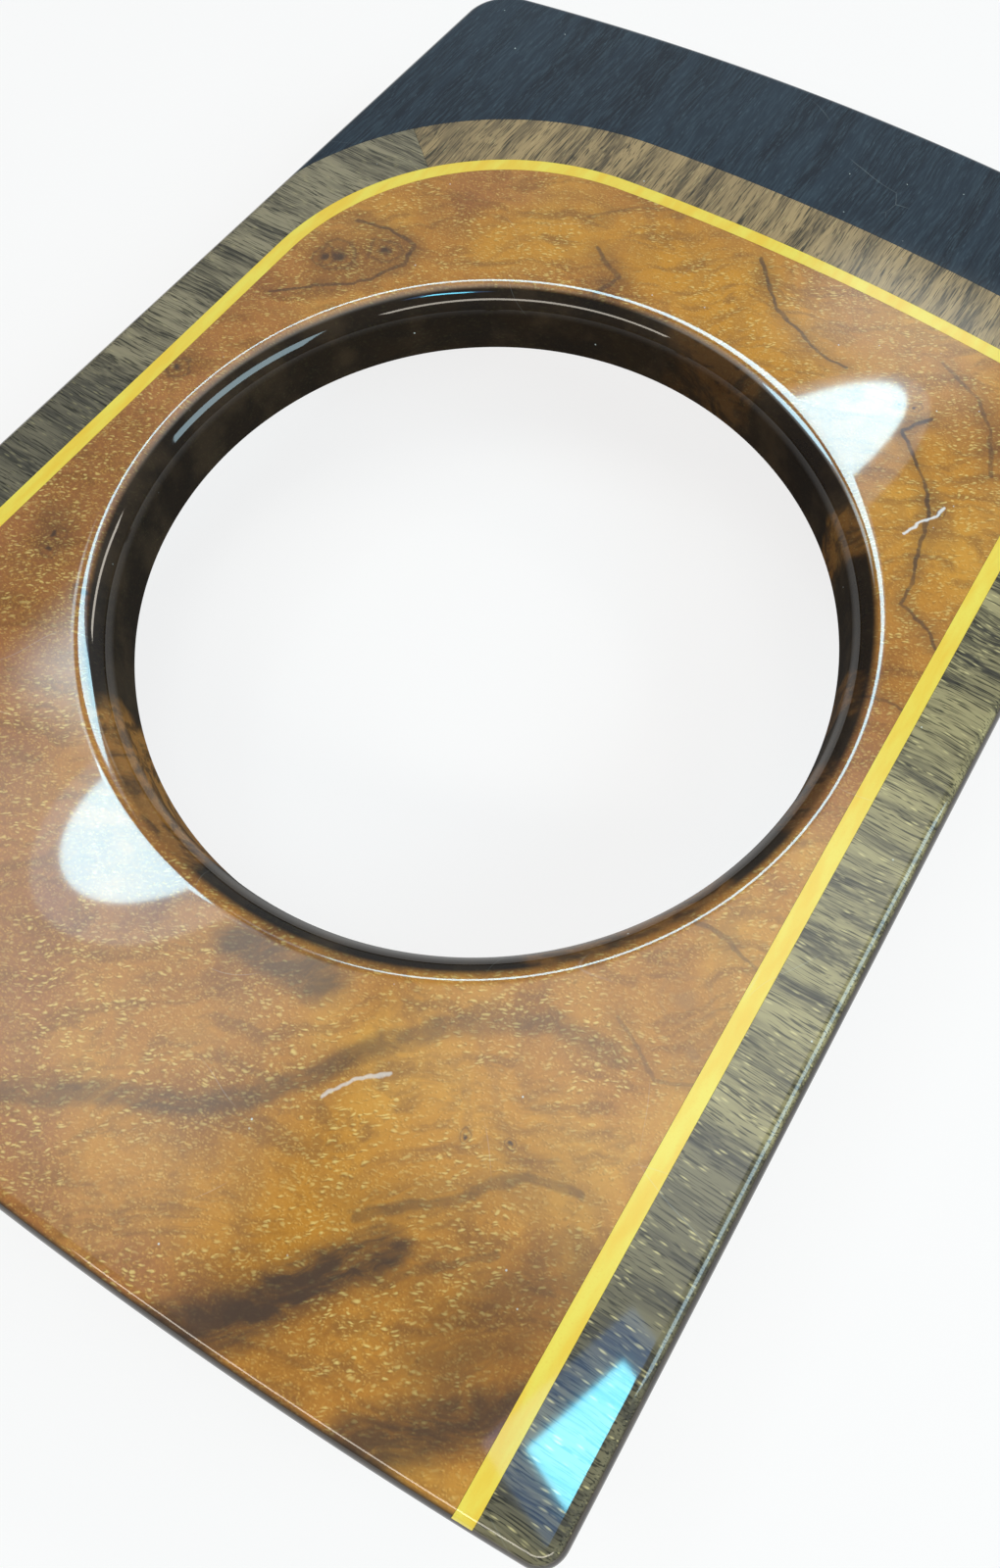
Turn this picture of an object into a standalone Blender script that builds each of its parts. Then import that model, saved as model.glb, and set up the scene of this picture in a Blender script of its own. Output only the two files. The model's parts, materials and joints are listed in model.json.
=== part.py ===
"""Lacquered walnut console trim panel with one rolled round opening.

A plywood board carries the show face: a burr walnut field that rolls down into the opening, a boxwood
line round it, three walnut crossbands and a dark end veneer. The back has a balancing veneer and four
studs, each held by a screwed retainer. Units are metres: +X is right, +Y is the bowed far end and +Z is
the show face. The origin is under the middle of the panel, level with the tips of the studs.
"""

import math

import bmesh
import bpy
from mathutils import Matrix, Vector

# Opening, a little to the right of the field's centre and nearer, and the veneer that rolls into it
OPENING_RADIUS = 0.0435
ROLL_RADIUS = 0.0035
OPENING_SHIFT_X = 0.0015
OPENING_SHIFT_Y = -0.0017
OPENING_SEGMENTS = 72
ROLL_STEPS = 6

# Show face, going outwards from the roll; the left side leans in towards the far end
FIELD_SIDE_MARGIN = 0.003
FIELD_NEAR_MARGIN = 0.0345
FIELD_FAR_MARGIN = 0.0153
FIELD_FAR_BOW_RADIUS = 0.3
FAR_BOW_SHIFT = 0.011
LEFT_SIDE_LEAN = math.radians(1.4)
FIELD_LEFT_CORNER_RADIUS = 0.035
FIELD_RIGHT_CORNER_RADIUS = 0.011
STRINGING_WIDTH = 0.002
CROSSBAND_WIDTH = 0.0082
CROSSBAND_TRIM = 0.0003
LEFT_JOINT_ANGLE = math.radians(140)
RIGHT_JOINT_ANGLE = math.radians(45)
DARK_END_DEPTH = 0.0225

# Panel edge
NEAR_BOW_RADIUS = 0.6
PANEL_FAR_CORNER_RADIUS = 0.008
PANEL_NEAR_CORNER_RADIUS = 0.003
EDGE_ROUNDING = 0.002
EDGE_STEPS = 4

# Layers and joints
BOARD_THICKNESS = 0.0072
VENEER_THICKNESS = 0.0006
BALANCER_THICKNESS = 0.0006
GLUE_LINE = 0.0001
VENEER_JOINT = 0.00005

# Studs, their retainers and the screws in the back
STUD_RADIUS = 0.0025
STUD_REACH = 0.012
STUD_TIP_CHAMFER = 0.0006
STUD_HEAD_RADIUS = 0.005
STUD_HEAD_THICKNESS = 0.0016
RETAINER_THICKNESS = 0.0015
RETAINER_WIDTH = 0.014
RETAINER_POCKET_LENGTH = 0.013
RETAINER_JOGGLE_LENGTH = 0.002
RETAINER_FOOT_LENGTH = 0.0095
RETAINER_CORNER_RADIUS = 0.003
RETAINER_SIDE_MARGIN = 0.0075
STUD_NEAR_MARGIN = 0.016
STUD_FAR_MARGIN = 0.0265
SCREW_RADIUS = 0.0016
SCREW_LENGTH = 0.0065
SCREW_POINT_LENGTH = 0.0025
SCREW_HEAD_RADIUS = 0.0033
SCREW_HEAD_HEIGHT = 0.0022
SCREW_HEAD_FULLNESS = 0.5
SCREW_RECESS_LENGTH = 0.0036
SCREW_RECESS_WIDTH = 0.0009
SCREW_RECESS_DEPTH = 0.0012
FIT_GAP = 0.0002
TURNED_SEGMENTS = 16
CORNER_STEPS = 4

# How blanks and cutters overlap what they are trimmed by, and how finely arcs are divided
TRIM_MARGIN = 0.004
CHORD_ERROR = 0.00001
WELD_DISTANCE = 0.000001
SMOOTH_ANGLE = math.radians(35)
FLAT_ANGLE = math.radians(0.05)

# Heights, from the stud tips up
RETAINER_RISE = STUD_HEAD_THICKNESS + FIT_GAP
RETAINER_SEAT_Z = STUD_REACH + RETAINER_THICKNESS + RETAINER_RISE
BACK_Z = RETAINER_SEAT_Z + FIT_GAP
BOARD_BOTTOM_Z = BACK_Z + BALANCER_THICKNESS + GLUE_LINE
BOARD_TOP_Z = BOARD_BOTTOM_Z + BOARD_THICKNESS
VENEER_BOTTOM_Z = BOARD_TOP_Z + GLUE_LINE
SHOW_Z = VENEER_BOTTOM_Z + VENEER_THICKNESS

# Plan sizes, from the field's centre out
ROLL_START_RADIUS = OPENING_RADIUS + ROLL_RADIUS
SKIN_DEPTH = VENEER_THICKNESS + GLUE_LINE
FIELD_HALF_WIDTH = ROLL_START_RADIUS + FIELD_SIDE_MARGIN
FIELD_FAR_REACH = ROLL_START_RADIUS + FIELD_FAR_MARGIN
SHOW_BORDER = STRINGING_WIDTH + CROSSBAND_WIDTH
PANEL_HALF_WIDTH = FIELD_HALF_WIDTH + SHOW_BORDER - CROSSBAND_TRIM
PANEL_NEAR_REACH = ROLL_START_RADIUS + FIELD_NEAR_MARGIN
PANEL_FAR_REACH = FIELD_FAR_REACH + SHOW_BORDER + DARK_END_DEPTH
PANEL_FAR_BOW_RADIUS = FIELD_FAR_BOW_RADIUS + SHOW_BORDER + DARK_END_DEPTH
FAR_BOW_CENTRE = Vector((FAR_BOW_SHIFT, FIELD_FAR_REACH - FIELD_FAR_BOW_RADIUS))
NEAR_BOW_CENTRE = Vector((0, NEAR_BOW_RADIUS - PANEL_NEAR_REACH))
LEFT = -1
RIGHT = 1
FAR = 1
NEAR = -1
FACING = {LEFT: math.pi - LEFT_SIDE_LEAN, RIGHT: 0.0}
FULL_TURN = 2 * math.pi


def polar(radius, angle):
    return Vector((radius * math.cos(angle), radius * math.sin(angle)))


def heading(vector):
    return math.atan2(vector.y, vector.x)


def side_axes(side):
    """The outward and the forward direction of the panel's left or right side."""
    outward = polar(1, FACING[side])
    return outward, side * Vector((-outward.y, outward.x))


def corner_centre(side, end, reach, radius, bow_centre, bow_radius):
    """Centre of the arc that turns a side, at this reach, into the bowed far or near end."""
    outward, forward = side_axes(side)
    start = outward * (reach - radius)
    along = (start - bow_centre).dot(forward)
    run = math.sqrt(along ** 2 - (start - bow_centre).length_squared + (bow_radius - radius) ** 2)
    return start + forward * (end * run - along)


def near_corner(side):
    return corner_centre(
        side, NEAR, PANEL_HALF_WIDTH, PANEL_NEAR_CORNER_RADIUS, NEAR_BOW_CENTRE, NEAR_BOW_RADIUS
    )


# The panel's middle is the origin, so this is where the field's centre and the opening lie
PANEL_LEFT_REACH = PANEL_NEAR_CORNER_RADIUS - near_corner(LEFT).x
PANEL_HALF_SPAN = (PANEL_LEFT_REACH + PANEL_HALF_WIDTH) / 2
FIELD_X = PANEL_LEFT_REACH - PANEL_HALF_SPAN
FIELD_Y = (PANEL_NEAR_REACH - PANEL_FAR_REACH) / 2
FIELD_CENTRE = Vector((FIELD_X, FIELD_Y))
OPENING_CENTRE = FIELD_CENTRE + Vector((OPENING_SHIFT_X, OPENING_SHIFT_Y))
NEAR_Y = FIELD_Y - PANEL_NEAR_REACH
FAR_Y = FIELD_Y + PANEL_FAR_REACH
BLANK_NEAR_Y = NEAR_Y - TRIM_MARGIN
BLANK_FAR_Y = FAR_Y + TRIM_MARGIN
BLANK_HALF_WIDTH = PANEL_HALF_SPAN + TRIM_MARGIN

# Places of the fixings
RETAINER_HALF_LENGTH = RETAINER_POCKET_LENGTH / 2 + RETAINER_JOGGLE_LENGTH + RETAINER_FOOT_LENGTH
SCREW_OFFSET = RETAINER_HALF_LENGTH - RETAINER_FOOT_LENGTH / 2
SCREW_SEAT_Z = RETAINER_SEAT_Z - RETAINER_THICKNESS - FIT_GAP
STUD_X = PANEL_HALF_SPAN - RETAINER_SIDE_MARGIN - RETAINER_HALF_LENGTH
STUD_NEAR_Y = NEAR_Y + STUD_NEAR_MARGIN
STUD_FAR_Y = FAR_Y - STUD_FAR_MARGIN
STUD_PLACES = {
    "near_left": Vector((-STUD_X, STUD_NEAR_Y, 0)),
    "near_right": Vector((STUD_X, STUD_NEAR_Y, 0)),
    "far_left": Vector((-STUD_X, STUD_FAR_Y, 0)),
    "far_right": Vector((STUD_X, STUD_FAR_Y, 0)),
}
SCREW_SIDES = {"left": -SCREW_OFFSET, "right": SCREW_OFFSET}


def clear_scene():
    for old in list(bpy.data.objects):
        bpy.data.objects.remove(old)


def new_collection(name):
    collection = bpy.data.collections.new(name)
    bpy.context.scene.collection.children.link(collection)
    return collection


clear_scene()
PANEL = new_collection("console_trim_panel")
CUTTERS = new_collection("cutters")


def finish(name, colour, roughness, metallic=0.0, coat=0.0):
    material = bpy.data.materials.new(name)
    material.use_nodes = True
    shader = material.node_tree.nodes["Principled BSDF"]
    shader.inputs["Base Color"].default_value = (*colour, 1)
    shader.inputs["Roughness"].default_value = roughness
    shader.inputs["Metallic"].default_value = metallic
    shader.inputs["Coat Weight"].default_value = coat
    material.diffuse_color = (*colour, 1)
    return material


def add_part(name, mesh, material):
    mesh.materials.clear()
    mesh.materials.append(material)
    part = bpy.data.objects.new(name, mesh)
    PANEL.objects.link(part)
    return part


def add_cutter(name, mesh):
    cutter = bpy.data.objects.new(name, mesh)
    cutter.hide_render = True
    cutter.display_type = "WIRE"
    CUTTERS.objects.link(cutter)
    return cutter


def boolean(part, operation, cutter):
    modifier = part.modifiers.new(operation.lower() + "_" + cutter.name, "BOOLEAN")
    modifier.operation = operation
    modifier.solver = "EXACT"
    modifier.object = cutter


def settled_mesh(source):
    """The mesh of an object as its modifiers leave it; the object itself is removed."""
    bpy.context.view_layer.update()
    graph = bpy.context.evaluated_depsgraph_get()
    mesh = bpy.data.meshes.new_from_object(source.evaluated_get(graph))
    bpy.data.objects.remove(source)
    return mesh


def welded(mesh, edit=None):
    """Welds the mesh's loose caps, runs an edit on its shape and points its faces outwards."""
    shape = bmesh.new()
    shape.from_mesh(mesh)
    bmesh.ops.remove_doubles(shape, verts=shape.verts, dist=WELD_DISTANCE)
    if edit:
        edit(shape)
    bmesh.ops.recalc_face_normals(shape, faces=shape.faces)
    shape.to_mesh(mesh)
    shape.free()
    return mesh


def smooth(mesh):
    mesh.shade_smooth()
    mesh.set_sharp_from_angle(angle=SMOOTH_ANGLE)
    return mesh


def arc(centre, radius, start, end):
    """Points along an arc, divided so that no chord leaves it by more than the chord error."""
    widest = 2 * math.acos(1 - CHORD_ERROR / radius)
    count = max(1, math.ceil(abs(end - start) / widest))
    angles = [start + (end - start) * index / count for index in range(count + 1)]
    return [FIELD_CENTRE + centre + polar(radius, angle) for angle in angles]


def far_end(reach, bow_radius, left_radius, right_radius):
    """The arcs round a far end, left to right: a corner, the bowed end and a corner."""
    left = corner_centre(LEFT, FAR, reach, left_radius, FAR_BOW_CENTRE, bow_radius)
    right = corner_centre(RIGHT, FAR, reach, right_radius, FAR_BOW_CENTRE, bow_radius)
    left_turn = heading(left - FAR_BOW_CENTRE)
    right_turn = heading(right - FAR_BOW_CENTRE)
    return [
        (left, left_radius, FACING[LEFT], left_turn),
        (FAR_BOW_CENTRE, bow_radius, left_turn, right_turn),
        (right, right_radius, right_turn, FACING[RIGHT]),
    ]


def near_end():
    """The arcs round the panel's near end, right to left."""
    right_turn = heading(near_corner(RIGHT) - NEAR_BOW_CENTRE)
    left_turn = heading(near_corner(LEFT) - NEAR_BOW_CENTRE)
    return [
        (near_corner(RIGHT), PANEL_NEAR_CORNER_RADIUS, FACING[RIGHT], right_turn),
        (NEAR_BOW_CENTRE, NEAR_BOW_RADIUS, right_turn, left_turn),
        (near_corner(LEFT), PANEL_NEAR_CORNER_RADIUS, left_turn, FACING[LEFT] - FULL_TURN),
    ]


def follow(arcs, offset, start=math.pi, end=0.0):
    """Points along the arcs, moved out by the offset, between two directions of their outward normal."""
    points = []
    for centre, radius, first, last in arcs:
        begin = min(first, start)
        stop = max(last, end)
        if begin > stop:
            stretch = arc(centre, radius + offset, begin, stop)
            points += stretch[1:] if points else stretch
    return points


FIELD_END = far_end(
    FIELD_HALF_WIDTH, FIELD_FAR_BOW_RADIUS, FIELD_LEFT_CORNER_RADIUS, FIELD_RIGHT_CORNER_RADIUS
)
PANEL_END = far_end(
    PANEL_HALF_WIDTH, PANEL_FAR_BOW_RADIUS, PANEL_FAR_CORNER_RADIUS, PANEL_FAR_CORNER_RADIUS
)


def field_side(side, offset):
    """Where the line at this offset from the field's edge leaves the blank at the near end."""
    outward, forward = side_axes(side)
    start = FIELD_CENTRE + outward * (FIELD_HALF_WIDTH + offset)
    return start + forward * (BLANK_NEAR_Y - start.y) / forward.y


def field_line(offset):
    """The U round the field, from near left to near right, moved out by the offset."""
    return [field_side(LEFT, offset), *follow(FIELD_END, offset), field_side(RIGHT, offset)]


def outline_mesh(name, outlines, bottom, top):
    """A flat outline, with any holes in it, raised from the bottom height to the top height."""
    curve = bpy.data.curves.new(name, "CURVE")
    curve.dimensions = "2D"
    curve.fill_mode = "BOTH"
    curve.extrude = (top - bottom) / 2
    for points in outlines:
        spline = curve.splines.new("POLY")
        spline.points.add(len(points) - 1)
        for slot, point in zip(spline.points, points):
            slot.co = (point.x, point.y, 0, 1)
        spline.use_cyclic_u = True
    guide = bpy.data.objects.new(name + "_outline", curve)
    CUTTERS.objects.link(guide)
    mesh = settled_mesh(guide)
    mesh.transform(Matrix.Translation((0, 0, (bottom + top) / 2)))
    return mesh


def outline_solid(name, outline, bottom, top):
    return welded(outline_mesh(name, [outline], bottom, top))


def turned_mesh(name, profile, segments):
    """A solid of revolution about Z, from (radius, height) points that run down its outer side."""
    mesh = bpy.data.meshes.new(name)
    edges = [(index, index + 1) for index in range(len(profile) - 1)]
    mesh.from_pydata([(radius, 0, height) for radius, height in profile], edges, [])
    blank = bpy.data.objects.new(name + "_profile", mesh)
    CUTTERS.objects.link(blank)
    screw = blank.modifiers.new("turn", "SCREW")
    screw.axis = "Z"
    screw.steps = segments
    screw.render_steps = segments
    screw.use_merge_vertices = True
    screw.merge_threshold = WELD_DISTANCE
    return smooth(welded(settled_mesh(blank)))


def cylinder_mesh(name, radius, places, bottom, top):
    """Upright round cutters, one at each place, in one mesh."""
    mesh = bpy.data.meshes.new(name)
    shape = bmesh.new()
    for place in places:
        bmesh.ops.create_cone(
            shape,
            cap_ends=True,
            segments=TURNED_SEGMENTS,
            radius1=radius,
            radius2=radius,
            depth=top - bottom,
            matrix=Matrix.Translation((place.x, place.y, (bottom + top) / 2)),
        )
    shape.to_mesh(mesh)
    shape.free()
    return mesh


def panel_outline():
    """The finished panel's edge, clockwise from the left side: both of its ends are bowed."""
    return follow(PANEL_END, 0) + follow(near_end(), 0, end=-FULL_TURN)


def finished_form():
    """The outer form that all layers are trimmed to, with its show edge rounded over."""

    def round_show_edge(shape):
        bmesh.ops.dissolve_limit(shape, angle_limit=FLAT_ANGLE, verts=shape.verts, edges=shape.edges)
        show_face = max(shape.faces, key=lambda face: face.calc_center_median().z)
        bmesh.ops.bevel(
            shape,
            geom=list(show_face.edges),
            offset=EDGE_ROUNDING,
            segments=EDGE_STEPS,
            profile=0.5,
            affect="EDGES",
        )

    blank = outline_mesh("finished_form", [panel_outline()], BACK_Z - TRIM_MARGIN, SHOW_Z)
    return add_cutter("finished_form", welded(blank, round_show_edge))


def routed_opening():
    """The opening as it is routed in the board, deep enough for the veneer that lines it."""
    routed_roll = ROLL_RADIUS - SKIN_DEPTH
    roll_z = SHOW_Z - ROLL_RADIUS
    profile = [(0, SHOW_Z + TRIM_MARGIN), (ROLL_START_RADIUS, SHOW_Z + TRIM_MARGIN)]
    for step in range(ROLL_STEPS + 1):
        turn = polar(routed_roll, math.pi / 2 * (1 + step / ROLL_STEPS))
        profile.append((ROLL_START_RADIUS + turn.x, roll_z + turn.y))
    profile.append((OPENING_RADIUS + SKIN_DEPTH, BACK_Z - TRIM_MARGIN))
    profile.append((0, BACK_Z - TRIM_MARGIN))
    mesh = turned_mesh("routed_opening", profile, OPENING_SEGMENTS)
    mesh.transform(Matrix.Translation(OPENING_CENTRE.to_3d()))
    return add_cutter("routed_opening", mesh)


def screw_places():
    return [place + Vector((side, 0, 0)) for place in STUD_PLACES.values() for side in SCREW_SIDES.values()]


def pilot_holes():
    radius = SCREW_RADIUS + FIT_GAP
    top = SCREW_SEAT_Z + SCREW_LENGTH + FIT_GAP
    return add_cutter("pilot_holes", cylinder_mesh("pilot_holes", radius, screw_places(), 0, top))


FINISHED_FORM = finished_form()
ROUTED_OPENING = routed_opening()
PILOT_HOLES = pilot_holes()


def build_layer(name, bottom, top, material):
    """A sheet that covers the whole panel, with the opening and the screws' pilot holes cut in it."""
    corners = [
        Vector((-BLANK_HALF_WIDTH, BLANK_NEAR_Y)),
        Vector((BLANK_HALF_WIDTH, BLANK_NEAR_Y)),
        Vector((BLANK_HALF_WIDTH, BLANK_FAR_Y)),
        Vector((-BLANK_HALF_WIDTH, BLANK_FAR_Y)),
    ]
    layer = add_part(name, outline_solid(name, corners, bottom, top), material)
    boolean(layer, "INTERSECT", FINISHED_FORM)
    boolean(layer, "DIFFERENCE", ROUTED_OPENING)
    boolean(layer, "DIFFERENCE", PILOT_HOLES)


def build_show_veneer(name, outline, material):
    """A flat veneer on the show face, trimmed to the panel's rounded edge."""
    veneer = add_part(name, outline_solid(name, outline, VENEER_BOTTOM_Z, SHOW_Z), material)
    boolean(veneer, "INTERSECT", FINISHED_FORM)


def build_field(material):
    """The burr field: a flat sheet whose inner edge rolls over and lines the opening to the back."""
    angles = [FULL_TURN * index / OPENING_SEGMENTS for index in range(OPENING_SEGMENTS)]
    hole = [OPENING_CENTRE + polar(ROLL_START_RADIUS, angle) for angle in angles]
    outline = field_line(-VENEER_JOINT / 2)
    lining = []
    for step in range(1, ROLL_STEPS + 1):
        turn = math.pi / 2 * step / ROLL_STEPS
        radius = ROLL_START_RADIUS - ROLL_RADIUS * math.sin(turn)
        lining.append((radius, SHOW_Z - ROLL_RADIUS * (1 - math.cos(turn))))
    lining.append((OPENING_RADIUS, BACK_Z))

    def roll_into_opening(shape):
        def on_hole(vert):
            return abs((vert.co.xy - OPENING_CENTRE).length - ROLL_START_RADIUS) < WELD_DISTANCE

        rim = [edge for edge in shape.edges if edge.is_boundary and all(map(on_hole, edge.verts))]
        rim_radius = ROLL_START_RADIUS
        rim_height = SHOW_Z
        to_axis = Matrix.Translation(-OPENING_CENTRE.to_3d())
        for radius, height in lining:
            grown = bmesh.ops.extrude_edge_only(shape, edges=rim)["geom"]
            verts = [item for item in grown if isinstance(item, bmesh.types.BMVert)]
            rim = [item for item in grown if isinstance(item, bmesh.types.BMEdge) and item.is_boundary]
            factor = radius / rim_radius
            bmesh.ops.scale(shape, vec=(factor, factor, 1), space=to_axis, verts=verts)
            bmesh.ops.translate(shape, vec=(0, 0, height - rim_height), verts=verts)
            rim_radius = radius
            rim_height = height

    sheet = outline_mesh("burr_field_veneer", [outline, hole], SHOW_Z, SHOW_Z)
    field = add_part("burr_field_veneer", smooth(welded(sheet, roll_into_opening)), material)
    shell = field.modifiers.new("veneer", "SOLIDIFY")
    shell.thickness = VENEER_THICKNESS
    shell.offset = -1
    shell.use_even_offset = True
    boolean(field, "INTERSECT", FINISHED_FORM)


def build_stringing(material):
    inner = field_line(VENEER_JOINT / 2)
    outer = field_line(STRINGING_WIDTH - VENEER_JOINT / 2)
    build_show_veneer("boxwood_stringing", inner + outer[::-1], material)


def build_crossbands(material_of):
    """Three bands outside the boxwood line, butted together on a radius of each far corner."""
    inner = STRINGING_WIDTH + VENEER_JOINT / 2
    outer = SHOW_BORDER - VENEER_JOINT / 2

    def half_joint(corner_radius, offset):
        return VENEER_JOINT / 2 / (corner_radius + offset)

    def left_line(offset):
        end = LEFT_JOINT_ANGLE + half_joint(FIELD_LEFT_CORNER_RADIUS, offset)
        return [field_side(LEFT, offset), *follow(FIELD_END, offset, end=end)]

    def far_line(offset):
        start = LEFT_JOINT_ANGLE - half_joint(FIELD_LEFT_CORNER_RADIUS, offset)
        end = RIGHT_JOINT_ANGLE + half_joint(FIELD_RIGHT_CORNER_RADIUS, offset)
        return follow(FIELD_END, offset, start, end)

    def right_line(offset):
        start = RIGHT_JOINT_ANGLE - half_joint(FIELD_RIGHT_CORNER_RADIUS, offset)
        return [*follow(FIELD_END, offset, start), field_side(RIGHT, offset)]

    lines = {"crossband_left": left_line, "crossband_far": far_line, "crossband_right": right_line}
    for name, line in lines.items():
        build_show_veneer(name, line(inner) + line(outer)[::-1], material_of(name))


def build_dark_end(material):
    edge = follow(FIELD_END, SHOW_BORDER + VENEER_JOINT / 2)
    outside = [
        Vector((BLANK_HALF_WIDTH, edge[-1].y)),
        Vector((BLANK_HALF_WIDTH, BLANK_FAR_Y)),
        Vector((-BLANK_HALF_WIDTH, BLANK_FAR_Y)),
        Vector((-BLANK_HALF_WIDTH, edge[0].y)),
    ]
    build_show_veneer("dark_end_veneer", edge + outside, material)


def retainer_mesh():
    """A strip with a joggled middle that makes a pocket for the stud's head, and a hole in each foot."""
    pocket = RETAINER_POCKET_LENGTH / 2
    joggle = pocket + RETAINER_JOGGLE_LENGTH
    crests = [
        (-RETAINER_HALF_LENGTH, 0),
        (-joggle, 0),
        (-pocket, -RETAINER_RISE),
        (pocket, -RETAINER_RISE),
        (joggle, 0),
        (RETAINER_HALF_LENGTH, 0),
    ]
    mesh = bpy.data.meshes.new("stud_retainer")
    shape = bmesh.new()
    verts = [shape.verts.new((x, -RETAINER_WIDTH / 2, RETAINER_SEAT_Z + z)) for x, z in crests]
    edges = [shape.edges.new(pair) for pair in zip(verts, verts[1:])]
    grown = bmesh.ops.extrude_edge_only(shape, edges=edges)["geom"]
    far_verts = [item for item in grown if isinstance(item, bmesh.types.BMVert)]
    bmesh.ops.translate(shape, vec=(0, RETAINER_WIDTH, 0), verts=far_verts)
    corners = [vert for vert in shape.verts if abs(vert.co.x) > RETAINER_HALF_LENGTH - WELD_DISTANCE]
    bmesh.ops.bevel(
        shape,
        geom=corners,
        offset=RETAINER_CORNER_RADIUS,
        segments=CORNER_STEPS,
        profile=0.5,
        affect="VERTICES",
    )
    bmesh.ops.recalc_face_normals(shape, faces=shape.faces)
    if sum(face.normal.z for face in shape.faces) < 0:
        bmesh.ops.reverse_faces(shape, faces=shape.faces)
    shape.to_mesh(mesh)
    shape.free()
    strip = bpy.data.objects.new("stud_retainer_strip", mesh)
    CUTTERS.objects.link(strip)
    plate = strip.modifiers.new("plate", "SOLIDIFY")
    plate.thickness = RETAINER_THICKNESS
    plate.offset = -1
    plate.use_even_offset = True
    top = RETAINER_SEAT_Z + TRIM_MARGIN
    feet = [Vector((side, 0, 0)) for side in SCREW_SIDES.values()]
    screw_holes = cylinder_mesh("retainer_screw_holes", SCREW_RADIUS + FIT_GAP, feet, 0, top)
    stud_hole = cylinder_mesh("retainer_stud_hole", STUD_RADIUS + FIT_GAP, [Vector((0, 0, 0))], 0, top)
    boolean(strip, "DIFFERENCE", add_cutter("retainer_screw_holes", screw_holes))
    boolean(strip, "DIFFERENCE", add_cutter("retainer_stud_hole", stud_hole))
    return settled_mesh(strip)


def stud_mesh():
    """A round stud that hangs from a flat head trapped in its retainer's pocket."""
    head_top = RETAINER_SEAT_Z
    head_bottom = head_top - STUD_HEAD_THICKNESS
    profile = [
        (0, head_top),
        (STUD_HEAD_RADIUS, head_top),
        (STUD_HEAD_RADIUS, head_bottom),
        (STUD_RADIUS, head_bottom),
        (STUD_RADIUS, STUD_TIP_CHAMFER),
        (STUD_RADIUS - STUD_TIP_CHAMFER, 0),
        (0, 0),
    ]
    return turned_mesh("stud", profile, TURNED_SEGMENTS)


def screw_mesh():
    """A pan-headed wood screw, point up, with a cross recess in its head."""
    tip = SCREW_SEAT_Z + SCREW_LENGTH
    head_bottom = SCREW_SEAT_Z - SCREW_HEAD_HEIGHT
    profile = [
        (0, tip),
        (SCREW_RADIUS, tip - SCREW_POINT_LENGTH),
        (SCREW_RADIUS, SCREW_SEAT_Z),
        (SCREW_HEAD_RADIUS, SCREW_SEAT_Z),
    ]
    for step in range(1, CORNER_STEPS):
        turn = math.pi / 2 * step / CORNER_STEPS
        height = SCREW_SEAT_Z - SCREW_HEAD_HEIGHT * math.sin(turn)
        profile.append((SCREW_HEAD_RADIUS * math.cos(turn) ** SCREW_HEAD_FULLNESS, height))
    profile.append((0, head_bottom))
    turned = turned_mesh("retainer_screw", profile, TURNED_SEGMENTS)
    blank = bpy.data.objects.new("retainer_screw_blank", turned)
    CUTTERS.objects.link(blank)
    recess = {
        "recess_across": (SCREW_RECESS_LENGTH, SCREW_RECESS_WIDTH, 2 * SCREW_RECESS_DEPTH),
        "recess_along": (SCREW_RECESS_WIDTH, SCREW_RECESS_LENGTH, 2 * SCREW_RECESS_DEPTH),
    }
    for name, size in recess.items():
        mesh = bpy.data.meshes.new(name)
        shape = bmesh.new()
        place = Matrix.Translation((0, 0, head_bottom)) @ Matrix.Diagonal((*size, 1))
        bmesh.ops.create_cube(shape, size=1, matrix=place)
        shape.to_mesh(mesh)
        shape.free()
        boolean(blank, "DIFFERENCE", add_cutter(name, mesh))
    return smooth(settled_mesh(blank))


def build_fixings(steel, zinc):
    retainer = retainer_mesh()
    stud = stud_mesh()
    screw = screw_mesh()
    for corner, place in STUD_PLACES.items():
        add_part("stud_retainer_" + corner, retainer, zinc).location = place
        add_part("stud_" + corner, stud, steel).location = place
        for side, offset in SCREW_SIDES.items():
            part = add_part("screw_" + corner + "_" + side, screw, steel)
            part.location = place + Vector((offset, 0, 0))


def crossband_walnut(name):
    return finish(name + "_walnut", (0.17, 0.105, 0.06), 0.2, coat=1.0)


PLAIN_WALNUT = finish("plain_walnut", (0.22, 0.13, 0.075), 0.6)
BIRCH_PLYWOOD = finish("birch_plywood", (0.62, 0.45, 0.28), 0.65)
BURR_WALNUT = finish("burr_walnut", (0.36, 0.15, 0.04), 0.2, coat=1.0)
BOXWOOD = finish("boxwood", (0.85, 0.45, 0.06), 0.2, coat=1.0)
DARK_VENEER = finish("dark_veneer", (0.02, 0.018, 0.022), 0.2, coat=1.0)
STEEL = finish("steel", (0.6, 0.6, 0.62), 0.35, metallic=1.0)
ZINC_PLATE = finish("zinc_plate", (0.62, 0.6, 0.55), 0.4, metallic=1.0)

build_layer("balancing_veneer", BACK_Z, BACK_Z + BALANCER_THICKNESS, PLAIN_WALNUT)
build_layer("core_board", BOARD_BOTTOM_Z, BOARD_TOP_Z, BIRCH_PLYWOOD)
build_field(BURR_WALNUT)
build_stringing(BOXWOOD)
build_crossbands(crossband_walnut)
build_dark_end(DARK_VENEER)
build_fixings(STEEL, ZINC_PLATE)
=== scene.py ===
"""Looks of a lacquered walnut console trim panel: smooth veneers, wood figure, lacquer and fixings."""

import json
import math

import bmesh
import bpy
from mathutils import Matrix, Vector

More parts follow.
